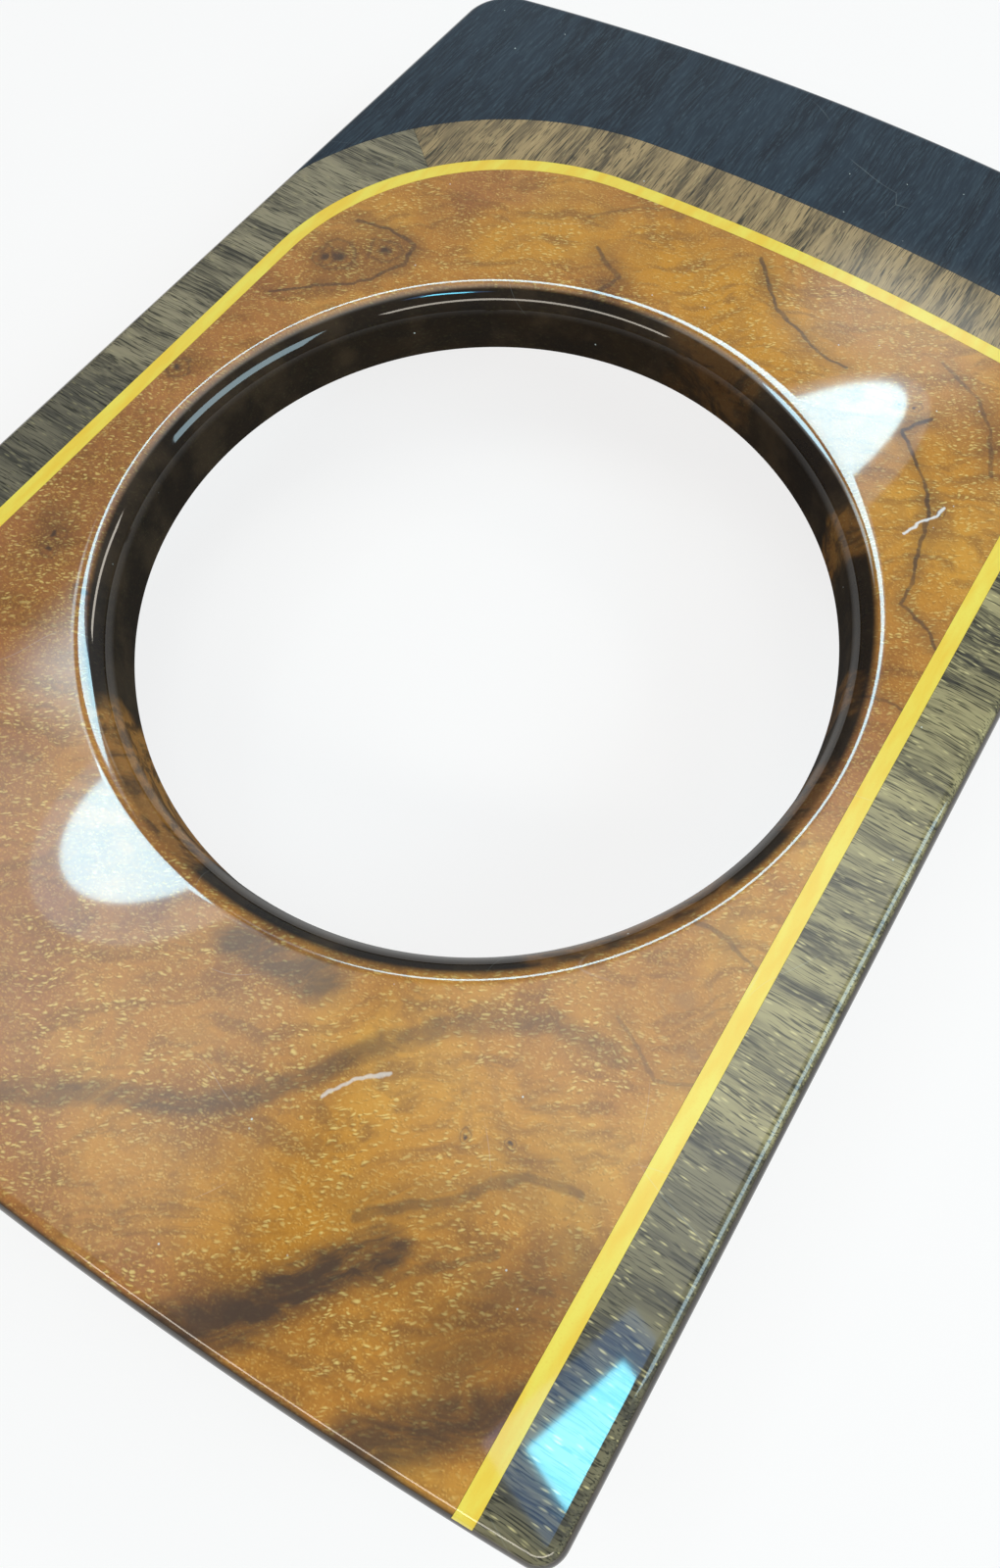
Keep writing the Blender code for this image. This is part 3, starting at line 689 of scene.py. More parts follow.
class Tree:
    """Short ways to add nodes to the tree of a material or a group."""

    def __init__(self, tree):
        self.tree = tree

    def add(self, kind, inputs=None, **settings):
        node = self.tree.nodes.new("ShaderNode" + kind)
        for name, value in settings.items():
            setattr(node, name, value)
        for name, value in (inputs or {}).items():
            self.feed(node.inputs[name], value)
        return node

    def feed(self, socket, value):
        if isinstance(value, bpy.types.NodeSocket):
            self.tree.links.new(value, socket)
        elif socket.type == "RGBA":
            socket.default_value = (*value, 1)
        else:
            socket.default_value = value

    def math(self, operation, first, second=0.0):
        return self.add("Math", {0: first, 1: second}, operation=operation).outputs[0]

    def vector(self, operation, first, second=(0, 0, 0)):
        node = self.add("VectorMath", {0: first, 1: second}, operation=operation)
        return node.outputs["Value" if operation in ("LENGTH", "DOT_PRODUCT") else "Vector"]

    def scaled(self, vector, factor):
        return self.add("VectorMath", {0: vector, "Scale": factor}, operation="SCALE").outputs["Vector"]

    def mix(self, factor, first, second):
        return self.add("Mix", {0: factor, 6: first, 7: second}, data_type="RGBA").outputs[2]

    def fade(self, value, start, stop, low=0.0, high=1.0):
        """A smooth step from low, at start, to high, at stop."""
        inputs = {0: value, 1: start, 2: stop, 3: low, 4: high}
        return self.add("MapRange", inputs, interpolation_type="SMOOTHSTEP").outputs[0]

    def noise(self, place, scale, detail=2.0, roughness=0.5, output="Fac"):
        inputs = {"Vector": place, "Scale": scale, "Detail": detail, "Roughness": roughness}
        return self.add("TexNoise", inputs).outputs[output]

    def drift(self, place, scale, detail=1.0):
        """Noise as a shift of at most a half each way."""
        return self.vector("SUBTRACT", self.noise(place, scale, detail, output="Color"), (0.5, 0.5, 0.5))

    def stretched(self, place, scale):
        return self.add("Mapping", {"Vector": place, "Scale": scale}).outputs[0]

    def rotated(self, place, turn):
        return self.add("Mapping", {"Vector": place, "Rotation": (0, 0, turn)}).outputs[0]

    def placed(self, group, inputs):
        return self.add("Group", inputs, node_tree=group).outputs


def new_group(name, inputs, outputs):
    """An empty shader group with named sockets, as its tree, its inputs and its output node."""
    group = bpy.data.node_groups.new(name, "ShaderNodeTree")
    for socket, kind in inputs.items():
        group.interface.new_socket(socket, in_out="INPUT", socket_type="NodeSocket" + kind)
    for socket, kind in outputs.items():
        group.interface.new_socket(socket, in_out="OUTPUT", socket_type="NodeSocket" + kind)
    tree = Tree(group)
    source = group.nodes.new("NodeGroupInput")
    result = group.nodes.new("NodeGroupOutput")
    return group, tree, source.outputs, result.inputs


def stroke_group():
    """A soft straight stroke between two points: veins, shaded patches and scratches are made of it."""
    group, tree, source, result = new_group(
        "stroke",
        {"Place": "Vector", "Start": "Vector", "Finish": "Vector", "Width": "Float"},
        {"Mask": "Float", "Vein": "Float"},
    )
    reach = tree.vector("MULTIPLY", tree.vector("SUBTRACT", source["Place"], source["Start"]), FLAT)
    run = tree.vector("SUBTRACT", source["Finish"], source["Start"])
    along = tree.vector("DOT_PRODUCT", reach, run)
    share = tree.math("DIVIDE", along, tree.vector("DOT_PRODUCT", run, run))
    share = tree.add("Clamp", {0: share}).outputs[0]
    offset = tree.vector("SUBTRACT", reach, tree.scaled(run, share))
    distance = tree.math("DIVIDE", tree.vector("LENGTH", offset), source["Width"])
    tree.feed(result["Mask"], tree.fade(distance, 0.25, 1.0, 1.0, 0.0))
    core = tree.fade(distance, 0.12, 0.5, 1.0, 0.0)
    shadow = tree.fade(distance, 0.3, 2.4, 0.34, 0.0)
    tree.feed(result["Vein"], tree.math("MAXIMUM", core, shadow))
    return group


def eye_group():
    """A small knot: a dark heart, a paler ring and a thin dark ring round it."""
    group, tree, source, result = new_group(
        "eye", {"Place": "Vector", "Centre": "Vector", "Size": "Float"}, {"Mask": "Float"}
    )
    reach = tree.vector("MULTIPLY", tree.vector("SUBTRACT", source["Place"], source["Centre"]), FLAT)
    distance = tree.math("DIVIDE", tree.vector("LENGTH", reach), source["Size"])
    heart = tree.fade(distance, 0.1, 0.55, 0.9, 0.12)
    ring = tree.fade(tree.math("ABSOLUTE", tree.math("SUBTRACT", distance, 0.9)), 0.0, 0.25, 0.45, 0.0)
    shade = tree.math("MAXIMUM", heart, ring)
    tree.feed(result["Mask"], tree.math("MULTIPLY", shade, tree.fade(distance, 0.8, 1.6, 1.0, 0.0)))
    return group


def fleck_group():
    """Short pale flecks with a darker shade beside each, as burr shows under lacquer."""
    group, tree, source, result = new_group(
        "flecks",
        {"Place": "Vector", "Length": "Float", "Width": "Float"},
        {"Pale": "Float", "Dark": "Float"},
    )
    size = tree.add("CombineXYZ", {0: source["Length"], 1: source["Width"], 2: source["Width"]}).outputs[0]
    cells = tree.vector("DIVIDE", source["Place"], size)
    cells = tree.vector("ADD", cells, tree.drift(cells, 0.6))

    def dashes(place, keep):
        cell = tree.add("TexVoronoi", {"Vector": place, "Scale": 1.0})
        chosen = tree.fade(cell.outputs["Color"], keep, keep + 0.3)
        return tree.math("MULTIPLY", tree.fade(cell.outputs["Distance"], 0.12, 0.5, 1.0, 0.0), chosen)

    tree.feed(result["Pale"], dashes(cells, 0.3))
    beside = tree.vector("ADD", cells, (0.2, 0.45, 0))
    tree.feed(result["Dark"], dashes(beside, 0.35))
    return group


def grain_group():
    """Straight grain along X: broad tone, fine streaks, pale dashes and dark pores."""
    group, tree, source, result = new_group(
        "straight_grain",
        {"Place": "Vector"},
        {"Tone": "Float", "Streaks": "Float", "Pale": "Float", "Pores": "Float"},
    )
    drift = tree.scaled(tree.drift(source["Place"], 0.08, 2.0), 1.6)
    place = tree.vector("ADD", source["Place"], drift)
    tree.feed(result["Tone"], tree.noise(tree.stretched(place, (0.03, 0.32, 0.32)), 1.0, 3.0))
    tree.feed(result["Streaks"], tree.noise(tree.stretched(place, (0.22, 3.2, 3.2)), 1.0, 3.0, 0.6))
    dash = tree.add("TexVoronoi", {"Vector": tree.stretched(place, (0.6, 3.0, 3.0)), "Scale": 1.0})
    chosen = tree.fade(dash.outputs["Color"], 0.4, 0.8)
    spot = tree.fade(dash.outputs["Distance"], 0.08, 0.4, 1.0, 0.0)
    tree.feed(result["Pale"], tree.math("MULTIPLY", spot, chosen))
    pores = tree.noise(tree.stretched(place, (0.22, 6.0, 6.0)), 1.0, 2.0)
    tree.feed(result["Pores"], tree.fade(pores, 0.5, 0.66))
    return group


def lacquer_group():
    """The lacquer's slightly uneven skin, and the dust and hairline marks on it."""
    group, tree, source, result = new_group(
        "lacquer_skin", {"Place": "Vector"}, {"Height": "Float", "Dust": "Float", "Marks": "Float"}
    )
    place = source["Place"]
    swell = tree.noise(place, 0.14, 1.0)
    ripple = tree.math("MULTIPLY", tree.noise(place, 0.5, 1.0), 0.14)
    peel = tree.math("MULTIPLY", tree.noise(place, 1.5, 1.0), 0.045)
    tree.feed(result["Height"], tree.math("ADD", swell, tree.math("ADD", ripple, peel)))
    cell = tree.add("TexVoronoi", {"Vector": place, "Scale": 0.32})
    speck = tree.fade(cell.outputs["Distance"], 0.02, 0.045, 1.0, 0.0)
    tree.feed(result["Dust"], tree.math("MULTIPLY", speck, tree.fade(cell.outputs["Color"], 0.45, 0.7)))
    bent = tree.vector("ADD", place, tree.scaled(tree.noise(place, 0.05, 1.0, output="Color"), 9))
    hair = tree.add("TexVoronoi", {"Vector": bent, "Scale": 0.045}, feature="DISTANCE_TO_EDGE")
    line = tree.fade(hair.outputs["Distance"], 0.0, 0.003, 1.0, 0.0)
    kept = tree.fade(tree.noise(place, 0.07, 1.0), 0.58, 0.68)
    tree.feed(result["Marks"], tree.math("MULTIPLY", line, kept))
    return group


STROKE = stroke_group()
EYE = eye_group()
FLECKS = fleck_group()
GRAIN = grain_group()
LACQUER = lacquer_group()

MILLIMETRES = 1000

# The lacquer: its skin's relief in millimetres, and the dust and marks on it
LACQUER_ROUGHNESS = 0.04
LACQUER_IOR = 1.5
SKIN_RELIEF = 0.06
WOOD_ROUGHNESS = 0.5
DUST_COLOUR = (0.78, 0.9, 0.9)
DUST_STRENGTH = 0.75
MARK_STRENGTH = 0.12


class Finish(Tree):
    """A material for one piece, with its places in millimetres from the field's centre."""

    def __init__(self, name):
        self.material = bpy.data.materials.new(name)
        self.material.use_nodes = True
        super().__init__(self.material.node_tree)
        self.shader = self.tree.nodes["Principled BSDF"]
        coordinates = self.add("TexCoord").outputs["Object"]
        origin = lifted(Vector((0, 0)), SHOW_Z) * -MILLIMETRES
        inputs = {"Vector": coordinates, "Location": origin, "Scale": [MILLIMETRES] * 3}
        self.place = self.add("Mapping", inputs).outputs[0]

    def set(self, **values):
        for name, value in values.items():
            self.feed(self.shader.inputs[name.replace("_", " ").title().replace("Ior", "IOR")], value)

    def warped(self, *ripples):
        """The places shifted about by noise, each ripple a (scale, reach in millimetres) pair."""
        place = self.place
        for scale, reach in ripples:
            place = self.vector("ADD", place, self.scaled(self.drift(self.place, scale), 2 * reach))
        return place

    def depth(self):
        """How far below the show face a place lies."""
        return self.math("MULTIPLY", self.add("SeparateXYZ", {0: self.place}).outputs[2], -1.0)

    def strokes(self, place, runs, profile="Mask"):
        """The strongest of several strokes; each run is its points, width and strength."""
        mask = 0.0
        for points, width, strength in runs:
            for start, finish in zip(points, points[1:]):
                inputs = {"Place": place, "Start": (*start, 0), "Finish": (*finish, 0), "Width": width}
                stroke = self.math("MULTIPLY", self.placed(STROKE, inputs)[profile], strength)
                mask = self.math("MAXIMUM", mask, stroke)
        return mask

    def lacquer(self, colour, coat=1.0, dust=1.0, relief=0.0):
        """Clear lacquer over this colour; the relief is its height in millimetres."""
        skin = self.placed(LACQUER, {"Place": self.place})
        specks = self.math("MULTIPLY", skin["Dust"], DUST_STRENGTH * dust)
        marks = self.math("MULTIPLY", skin["Marks"], MARK_STRENGTH * dust)
        colour = self.mix(self.math("MAXIMUM", specks, marks), colour, DUST_COLOUR)
        height = self.math("ADD", self.math("MULTIPLY", skin["Height"], SKIN_RELIEF), relief)
        bump = self.add("Bump", {"Height": height, "Distance": 1 / MILLIMETRES})
        self.set(base_color=colour, roughness=WOOD_ROUGHNESS, specular_ior_level=0.0, coat_weight=coat)
        self.set(coat_roughness=LACQUER_ROUGHNESS, coat_ior=LACQUER_IOR)
        self.feed(self.shader.inputs["Normal"], bump.outputs[0])
        return self.material


# Burr figure, in millimetres from the field's centre, x to the right and y to the far end: a run is its
# points, width and strength, and an eye is its centre and size
VEINS = [
    ([(-45, 37), (-40, 38), (-36, 37), (-35, 33), (-37, 29), (-41, 25), (-47, 20)], 1.0, 0.75),
    ([(-15, 50), (-10, 47), (-11, 43)], 1.3, 0.7),
    ([(-19, 54), (-14, 59), (-8, 62)], 0.9, 0.4),
    ([(5, 60), (11, 53), (17, 50.5), (23, 49.5)], 0.9, 0.8),
    ([(36, 48), (34, 44.5), (39, 38.5), (41.5, 34), (43.6, 25)], 0.9, 0.85),
    ([(43.6, 25), (43.5, 22), (47, 21), (50, 18.5)], 0.8, 0.75),
    ([(33, 57), (40, 54), (42.5, 50), (45.5, 44)], 1.0, 0.6),
    ([(45, 8), (48, 9.3), (51, 9.3)], 0.8, 0.65),
    ([(42, -24), (46, -23.5), (51, -25)], 0.8, 0.6),
    ([(41, -36), (46, -39), (51, -37)], 0.9, 0.45),
    ([(30, -64), (37, -58), (41, -53), (46, -52)], 1.9, 0.6),
    ([(35, -67.5), (42, -60.5)], 1.6, 0.5),
]
SHADES = [
    ([(-12, -77.5), (-1, -70.5), (10, -65), (18, -57), (26, -46)], 1.7, 0.6),
    ([(26, -46), (35, -40), (42, -39.6)], 1.8, 0.4),
    ([(20, -81), (25, -76)], 4.2, 0.9),
    ([(25, -76), (30, -69), (34, -65)], 3.4, 0.95),
    ([(40, -79), (46, -73), (51, -69)], 4.2, 0.85),
    ([(4, -50.2), (9.7, -49.5), (14, -48.6)], 3.4, 0.8),
    ([(43, -70), (48, -58)], 6.0, 0.5),
    ([(-46, -22), (-44, -24)], 4.0, 0.35),
]
GLOWS = [
    ([(22, -66), (34, -54)], 13.0, 0.5),
    ([(-5, 54), (14, 49)], 12.0, 0.8),
    ([(40, 40), (45, 28)], 10.0, 0.5),
    ([(30, -75), (40, -68)], 9.0, 0.2),
    ([(-26, 44), (-16, 52)], 8.0, 0.5),
    ([(6, -72), (18, -71)], 7.0, 0.5),
]
BURLS = [
    ([(-43.5, 29), (-38, 34)], 6.0, 0.75),
    ([(-48.8, 3.6), (-47.5, 5)], 3.5, 0.5),
    ([(42, 36), (43, 33)], 3.0, 0.4),
    ([(-47, -10), (-41, -30)], 9.0, 0.45),
]
BLUSHES = [
    ([(-50, -5), (-45, -50), (-20, -75)], 30.0, 0.8),
    ([(0, -78), (12, -80)], 12.0, 0.6),
    ([(-48, 12), (-44, 30)], 12.0, 0.5),
    ([(48, 4), (48, -6)], 8.0, 0.6),
    ([(-35, 50), (-30, 53)], 7.0, 0.5),
]
EYES = [
    ((-43, 30), 2.8),
    ((-44.6, 29), 1.8),
    ((-38.3, 34), 2.3),
    ((-48.8, 3.6), 1.8),
    ((-44.6, -23.3), 1.6),
    ((-43.6, -25.2), 1.4),
    ((-36.4, -27.8), 1.5),
    ((31.9, 47.7), 0.8),
    ((33.6, 48.4), 0.8),
    ((42.3, 35.6), 0.9),
    ((38, -51.3), 0.6),
    ((34, -53.4), 0.7),
]
PALE_EYES = [
    ((45.2, -30.7), 2.6),
    ((48.6, -35.1), 2.4),
]
SCRATCHES = [
    ([(42.5, 36.5), (41.5, 33.5), (40.2, 30.5)], 0.28, 0.8),
    ([(20.5, -57), (24.5, -52.5)], 0.25, 0.5),
]
WALL_GLOWS = [
    ([(-23, -38), (-15, -42.3), (-7, -45)], 3.8, 0.9),
    ([(31, -34), (37, -27.5), (42, -20)], 3.5, 0.6),
    ([(46, -8), (46, -3)], 3.5, 0.4),
    ([(33, 29), (36, 27)], 2.6, 0.5),
    ([(43, 10), (44, 7)], 2.4, 0.5),
    ([(3, 44), (13, 42)], 4.0, 0.2),
]
FLECK_TURN = math.radians(-30)
FIBRE_TURN = math.radians(-46)

# Colours of the burr leaf
BURR_SHADOW = (0.23, 0.087, 0.028)
BURR_BROWN = (0.47, 0.2, 0.043)
BURR_AMBER = (0.66, 0.33, 0.061)
BLUSH_COLOUR = (0.35, 0.14, 0.064)
GLOW_COLOUR = (0.62, 0.28, 0.028)
BURL_COLOUR = (0.24, 0.1, 0.034)
STREAK_COLOUR = (0.2, 0.087, 0.031)
RING_COLOUR = (0.25, 0.12, 0.046)
MOTTLE_COLOUR = (0.71, 0.37, 0.077)
DARK_DOT_COLOUR = (0.28, 0.13, 0.031)
PALE_DOT_COLOUR = (0.83, 0.51, 0.14)
DARK_FLECK_COLOUR = (0.25, 0.12, 0.031)
PALE_FLECK_COLOUR = (0.9, 0.7, 0.24)
VEIN_COLOUR = (0.076, 0.049, 0.037)
PALE_EYE_COLOUR = (0.3, 0.17, 0.077)
SCRATCH_COLOUR = (0.9, 0.9, 0.9)
# The opening's wall: near-black stain that is partly painted shade, and amber where the leaf shows through
WALL_STAIN_AND_SHADE_DEEP = (0.01, 0.01, 0.009)
WALL_STAIN_AND_SHADE_PALE = (0.033, 0.025, 0.017)
WALL_GLOW_COLOUR = (0.3, 0.13, 0.03)
EDGE_STAIN = (0.044, 0.032, 0.024)

# The leaf round the opening, in millimetres: the lacquer dips from the rim inwards and thins down the wall
ROLL_REACH = ROLL_START_RADIUS * MILLIMETRES
RIM_REACH = 51.5
RIM_FALL = 0.013
WALL_COAT_END = (1.6, 3.2)
WALL_COAT = 0.04
# How fully the wall turns to its stain and painted shade
WALL_STAIN_AND_SHADE_STRENGTH = 0.97


def burr_ground(finish, flow, figure, streaks):
    """Clouds of brown and amber, with patches, streaks, faint rings and mottle."""
    cloud = finish.noise(flow, 0.05, 3.0, 0.6)
    colour = finish.mix(finish.fade(cloud, 0.3, 0.5), BURR_SHADOW, BURR_BROWN)
    colour = finish.mix(finish.fade(cloud, 0.48, 0.72), colour, BURR_AMBER)
    for runs, tint in ((BLUSHES, BLUSH_COLOUR), (GLOWS, GLOW_COLOUR), (BURLS, BURL_COLOUR)):
        colour = finish.mix(finish.strokes(figure, runs), colour, tint)
    colour = finish.mix(finish.fade(streaks, 0.45, 0.7, 0.0, 0.6), colour, STREAK_COLOUR)
    rings = finish.math("SINE", finish.math("MULTIPLY", finish.noise(flow, 0.03, 1.0), 70))
    colour = finish.mix(finish.fade(rings, 0.2, 1.0, 0.0, 0.22), colour, RING_COLOUR)
    mottle = finish.noise(finish.place, 2.6, 2.0, 0.6)
    return finish.mix(finish.fade(mottle, 0.45, 0.75, 0.0, 0.3), colour, MOTTLE_COLOUR)


def burr_flecks(finish, flow, figure, colour):
    """Fine dots everywhere and longer slanting flecks in patches, each dark beside pale."""
    dots = finish.placed(FLECKS, {"Place": finish.place, "Length": 0.4, "Width": 0.28})
    slanted = finish.rotated(figure, FLECK_TURN)
    flecks = finish.placed(FLECKS, {"Place": slanted, "Length": 0.95, "Width": 0.34})
    patchy = finish.fade(finish.noise(flow, 0.09, 2.0), 0.36, 0.6, 0.25, 1.0)
    for mask, strength, tint in (
        (dots["Dark"], 0.35, DARK_DOT_COLOUR),
        (dots["Pale"], 0.35, PALE_DOT_COLOUR),
        (flecks["Dark"], finish.math("MULTIPLY", patchy, 0.5), DARK_FLECK_COLOUR),
        (flecks["Pale"], finish.math("MULTIPLY", patchy, 0.62), PALE_FLECK_COLOUR),
    ):
        colour = finish.mix(finish.math("MULTIPLY", mask, strength), colour, tint)
    return colour


def burr_eyes(finish, knotty, eyes):
    """The strongest of several small knots; each is its centre and size."""
    mask = 0.0
    for centre, size in eyes:
        inputs = {"Place": knotty, "Centre": (*centre, 0), "Size": size}
        mask = finish.math("MAXIMUM", mask, finish.placed(EYE, inputs)["Mask"])
    return mask


def burr_marks(finish, flow, figure, knotty, colour):
    """Broken dark veins, fibrous dark patches, eyes and two scratches."""
    breaks = finish.fade(finish.noise(finish.place, 0.35, 2.0), 0.3, 0.6, 0.75, 1.0)
    veins = finish.math("MULTIPLY", finish.strokes(figure, VEINS, "Vein"), breaks)
    along_fibres = finish.stretched(finish.rotated(flow, FIBRE_TURN), (0.1, 0.7, 0.7))
    fibres = finish.fade(finish.noise(along_fibres, 1.0, 3.0, 0.65), 0.3, 0.6, 0.6, 1.0)
    shades = finish.math("MULTIPLY", finish.strokes(figure, SHADES), fibres)
    dark = finish.math("MAXIMUM", finish.math("MAXIMUM", veins, shades), burr_eyes(finish, knotty, EYES))
    colour = finish.mix(dark, colour, VEIN_COLOUR)
    pale_rings = finish.math("MULTIPLY", burr_eyes(finish, knotty, PALE_EYES), 0.45)
    colour = finish.mix(pale_rings, colour, PALE_EYE_COLOUR)
    return finish.mix(finish.strokes(figure, SCRATCHES), colour, SCRATCH_COLOUR)


def stained_and_shaded_wall(finish, knotty, streaks, colour):
    """The opening's wall: nearly black stain, partly painted shade, through which the leaf glows in places.
    """
    patches = finish.fade(finish.noise(finish.place, 0.11, 3.0, 0.6), 0.42, 0.66)
    # Painted shade: the near-black stain also stands for the shade down in the opening
    stain = finish.mix(patches, WALL_STAIN_AND_SHADE_DEEP, WALL_STAIN_AND_SHADE_PALE)
    glow = finish.mix(0.7, colour, WALL_GLOW_COLOUR)
    unstreaked = finish.fade(streaks, 0.4, 0.62, 1.0, 0.3)
    glowing = finish.math("MULTIPLY", finish.strokes(knotty, WALL_GLOWS), unstreaked)
    return finish.mix(WALL_STAIN_AND_SHADE_STRENGTH, colour, finish.mix(glowing, stain, glow))


def burr_walnut():
    """Burr walnut: warm patches, dark wandering veins, eyes and pale flecks, darker in the opening with
    stain and painted shade.
    """
    finish = Finish("burr_walnut")
    flow = finish.warped((0.03, 8), (0.11, 3), (0.4, 0.6))
    figure = finish.warped((0.1, 1.3), (0.45, 0.5), (1.7, 0.12))
    knotty = finish.warped((0.1, 1.3), (0.5, 0.9), (1.6, 0.25))
    slanted = finish.rotated(flow, FLECK_TURN)
    streaks = finish.noise(finish.stretched(slanted, (0.06, 0.5, 0.5)), 1.0, 3.0, 0.6)
    colour = burr_ground(finish, flow, figure, streaks)
    colour = burr_flecks(finish, flow, figure, colour)
    colour = burr_marks(finish, flow, figure, knotty, colour)
    depth = finish.depth()
    from_opening = finish.vector("SUBTRACT", finish.place, OPENING_SHIFT * MILLIMETRES)
    reach = finish.vector("LENGTH", finish.vector("MULTIPLY", from_opening, FLAT))
    in_opening = finish.fade(reach, ROLL_REACH + 0.2, ROLL_REACH + 0.6, 1.0, 0.0)
    # Painted shade: just below the rim the roll and the wall turn to the dark stain and shade
    in_wall = finish.math("MULTIPLY", finish.fade(depth, 0.03, 0.5), in_opening)
    colour = finish.mix(in_wall, colour, stained_and_shaded_wall(finish, knotty, streaks, colour))
    outside = finish.fade(reach, ROLL_REACH + 0.5, ROLL_REACH + 2)
    edge = finish.math("MULTIPLY", finish.fade(depth, 0.06, 0.45), outside)
    colour = finish.mix(edge, colour, EDGE_STAIN)
    short = finish.math("MAXIMUM", finish.math("SUBTRACT", RIM_REACH, reach), 0.0)
    fall = finish.math("MULTIPLY", finish.math("MULTIPLY", short, short), -RIM_FALL / 2)
    coat = finish.fade(depth, *WALL_COAT_END, 1.0, WALL_COAT)
    return finish.lacquer(colour, coat=coat, relief=fall)


# The three bands: colours, strength of their golden flecks, and darker lengths of painted shade, standing
# for a darker reflection, placed as the burr figure is
BAND_PAINTED_DARK_REFLECTION = (0.07, 0.068, 0.06)
BAND_PORE = (0.025, 0.025, 0.021)
BAND_GOLD = (0.71, 0.62, 0.31)
BAND_LOOKS = {
    "left": {
        "turn": 0.0,
        "pale": (0.3, 0.26, 0.17),
        "deep": (0.069, 0.061, 0.046),
        "gold": 0.25,
        "shades": [([(-54.5, -8), (-54.5, -40)], 10.0, 0.5)],
    },
    "far": {
        "turn": math.pi / 2,
        "pale": (0.42, 0.3, 0.15),
        "deep": (0.082, 0.065, 0.043),
        "gold": 0.25,
        "shades": [],
    },
    "right": {
        "turn": 0.0,
        "pale": (0.39, 0.34, 0.18),
        "deep": (0.063, 0.058, 0.046),
        "gold": 0.8,
        "shades": [([(56, -46), (56, -78)], 10.0, 0.6)],
    },
}


def crossband(name, turn, pale, deep, gold, shades):
    """Straight-grained walnut, brown, with dark streaks and golden flecks across the band."""
    finish = Finish(name)
    grain = finish.placed(GRAIN, {"Place": finish.rotated(finish.place, turn)})
    colour = finish.mix(finish.fade(grain["Tone"], 0.36, 0.62), deep, pale)
    colour = finish.mix(finish.fade(grain["Streaks"], 0.4, 0.68, 0.0, 0.8), colour, pale)
    # Painted shade: darker, greyer lengths towards the near ends stand for a darker reflection there
    colour = finish.mix(finish.strokes(finish.place, shades), colour, BAND_PAINTED_DARK_REFLECTION)
    colour = finish.mix(finish.math("MULTIPLY", grain["Pores"], 0.85), colour, BAND_PORE)
    colour = finish.mix(finish.math("MULTIPLY", grain["Pale"], gold), colour, BAND_GOLD)
    colour = finish.mix(finish.fade(finish.depth(), 0.25, 0.6), colour, EDGE_STAIN)
    return finish.lacquer(colour)


BOXWOOD_DEEP = (0.9, 0.61, 0.07)
BOXWOOD_PALE = (0.9, 0.75, 0.12)
BOXWOOD_FINE = (0.82, 0.56, 0.07)


def boxwood():
    """Yellow boxwood: even, with faint long streaks."""
    finish = Finish("boxwood")
    streaks = finish.noise(finish.stretched(finish.place, (0.5, 0.12, 1.0)), 1.0, 3.0)
    colour = finish.mix(finish.fade(streaks, 0.3, 0.7), BOXWOOD_DEEP, BOXWOOD_PALE)
    fine = finish.noise(finish.place, 4.0, 2.0)
    colour = finish.mix(finish.fade(fine, 0.5, 0.8, 0.0, 0.3), colour, BOXWOOD_FINE)
    return finish.lacquer(colour)


# The dark end's near-black and its paler streaks and dashes are tinted blue: a painted sheen
DARK_VENEER_DEEP = (0.008, 0.013, 0.021)
DARK_VENEER_PALE = (0.018, 0.032, 0.049)
DARK_VENEER_STREAK = (0.044, 0.072, 0.095)
DARK_VENEER_DASH = (0.11, 0.17, 0.21)
DARK_VENEER_EDGE = (0.008, 0.01, 0.014)


def dark_veneer():
    """Near-black stained veneer whose straight grain still shows as faint streaks, tinted blue as a painted
    sheen.
    """
    finish = Finish("dark_veneer")
    grain = finish.placed(GRAIN, {"Place": finish.rotated(finish.place, math.pi / 2)})
    colour = finish.mix(finish.fade(grain["Tone"], 0.3, 0.7), DARK_VENEER_DEEP, DARK_VENEER_PALE)
    colour = finish.mix(finish.fade(grain["Streaks"], 0.4, 0.75, 0.0, 0.7), colour, DARK_VENEER_STREAK)
    colour = finish.mix(finish.math("MULTIPLY", grain["Pale"], 0.25), colour, DARK_VENEER_DASH)
    colour = finish.mix(finish.fade(finish.depth(), 0.06, 0.45), colour, DARK_VENEER_EDGE)
    return finish.lacquer(colour)


PLY_PAIR_THICKNESS = 2.8
PLY_DEEP = (0.023, 0.017, 0.014)
PLY_PALE = (0.057, 0.039, 0.024)
PLY_GRAIN = (0.095, 0.065, 0.038)


def stained_edge():
    """The board's edge: plywood layers under dark stain and lacquer."""
    finish = Finish("stained_edge")
    height = finish.add("SeparateXYZ", {0: finish.place}).outputs[2]
    wave = finish.math("SINE", finish.math("MULTIPLY", height, math.tau / PLY_PAIR_THICKNESS))
    layers = finish.fade(wave, -0.3, 0.3)
    grain = finish.noise(finish.stretched(finish.place, (0.4, 0.4, 3.0)), 1.0, 3.0)
    colour = finish.mix(layers, PLY_DEEP, PLY_PALE)
    colour = finish.mix(finish.fade(grain, 0.4, 0.75, 0.0, 0.6), colour, PLY_GRAIN)
    return finish.lacquer(colour, dust=0.5)


BACK_VENEER_DEEP = (0.13, 0.075, 0.042)
BACK_VENEER_PALE = (0.27, 0.165, 0.095)
BACK_VENEER_STREAK = (0.2, 0.115, 0.065)
BACK_VENEER_PORE = (0.06, 0.035, 0.02)
FINE_RELIEF = 0.0001


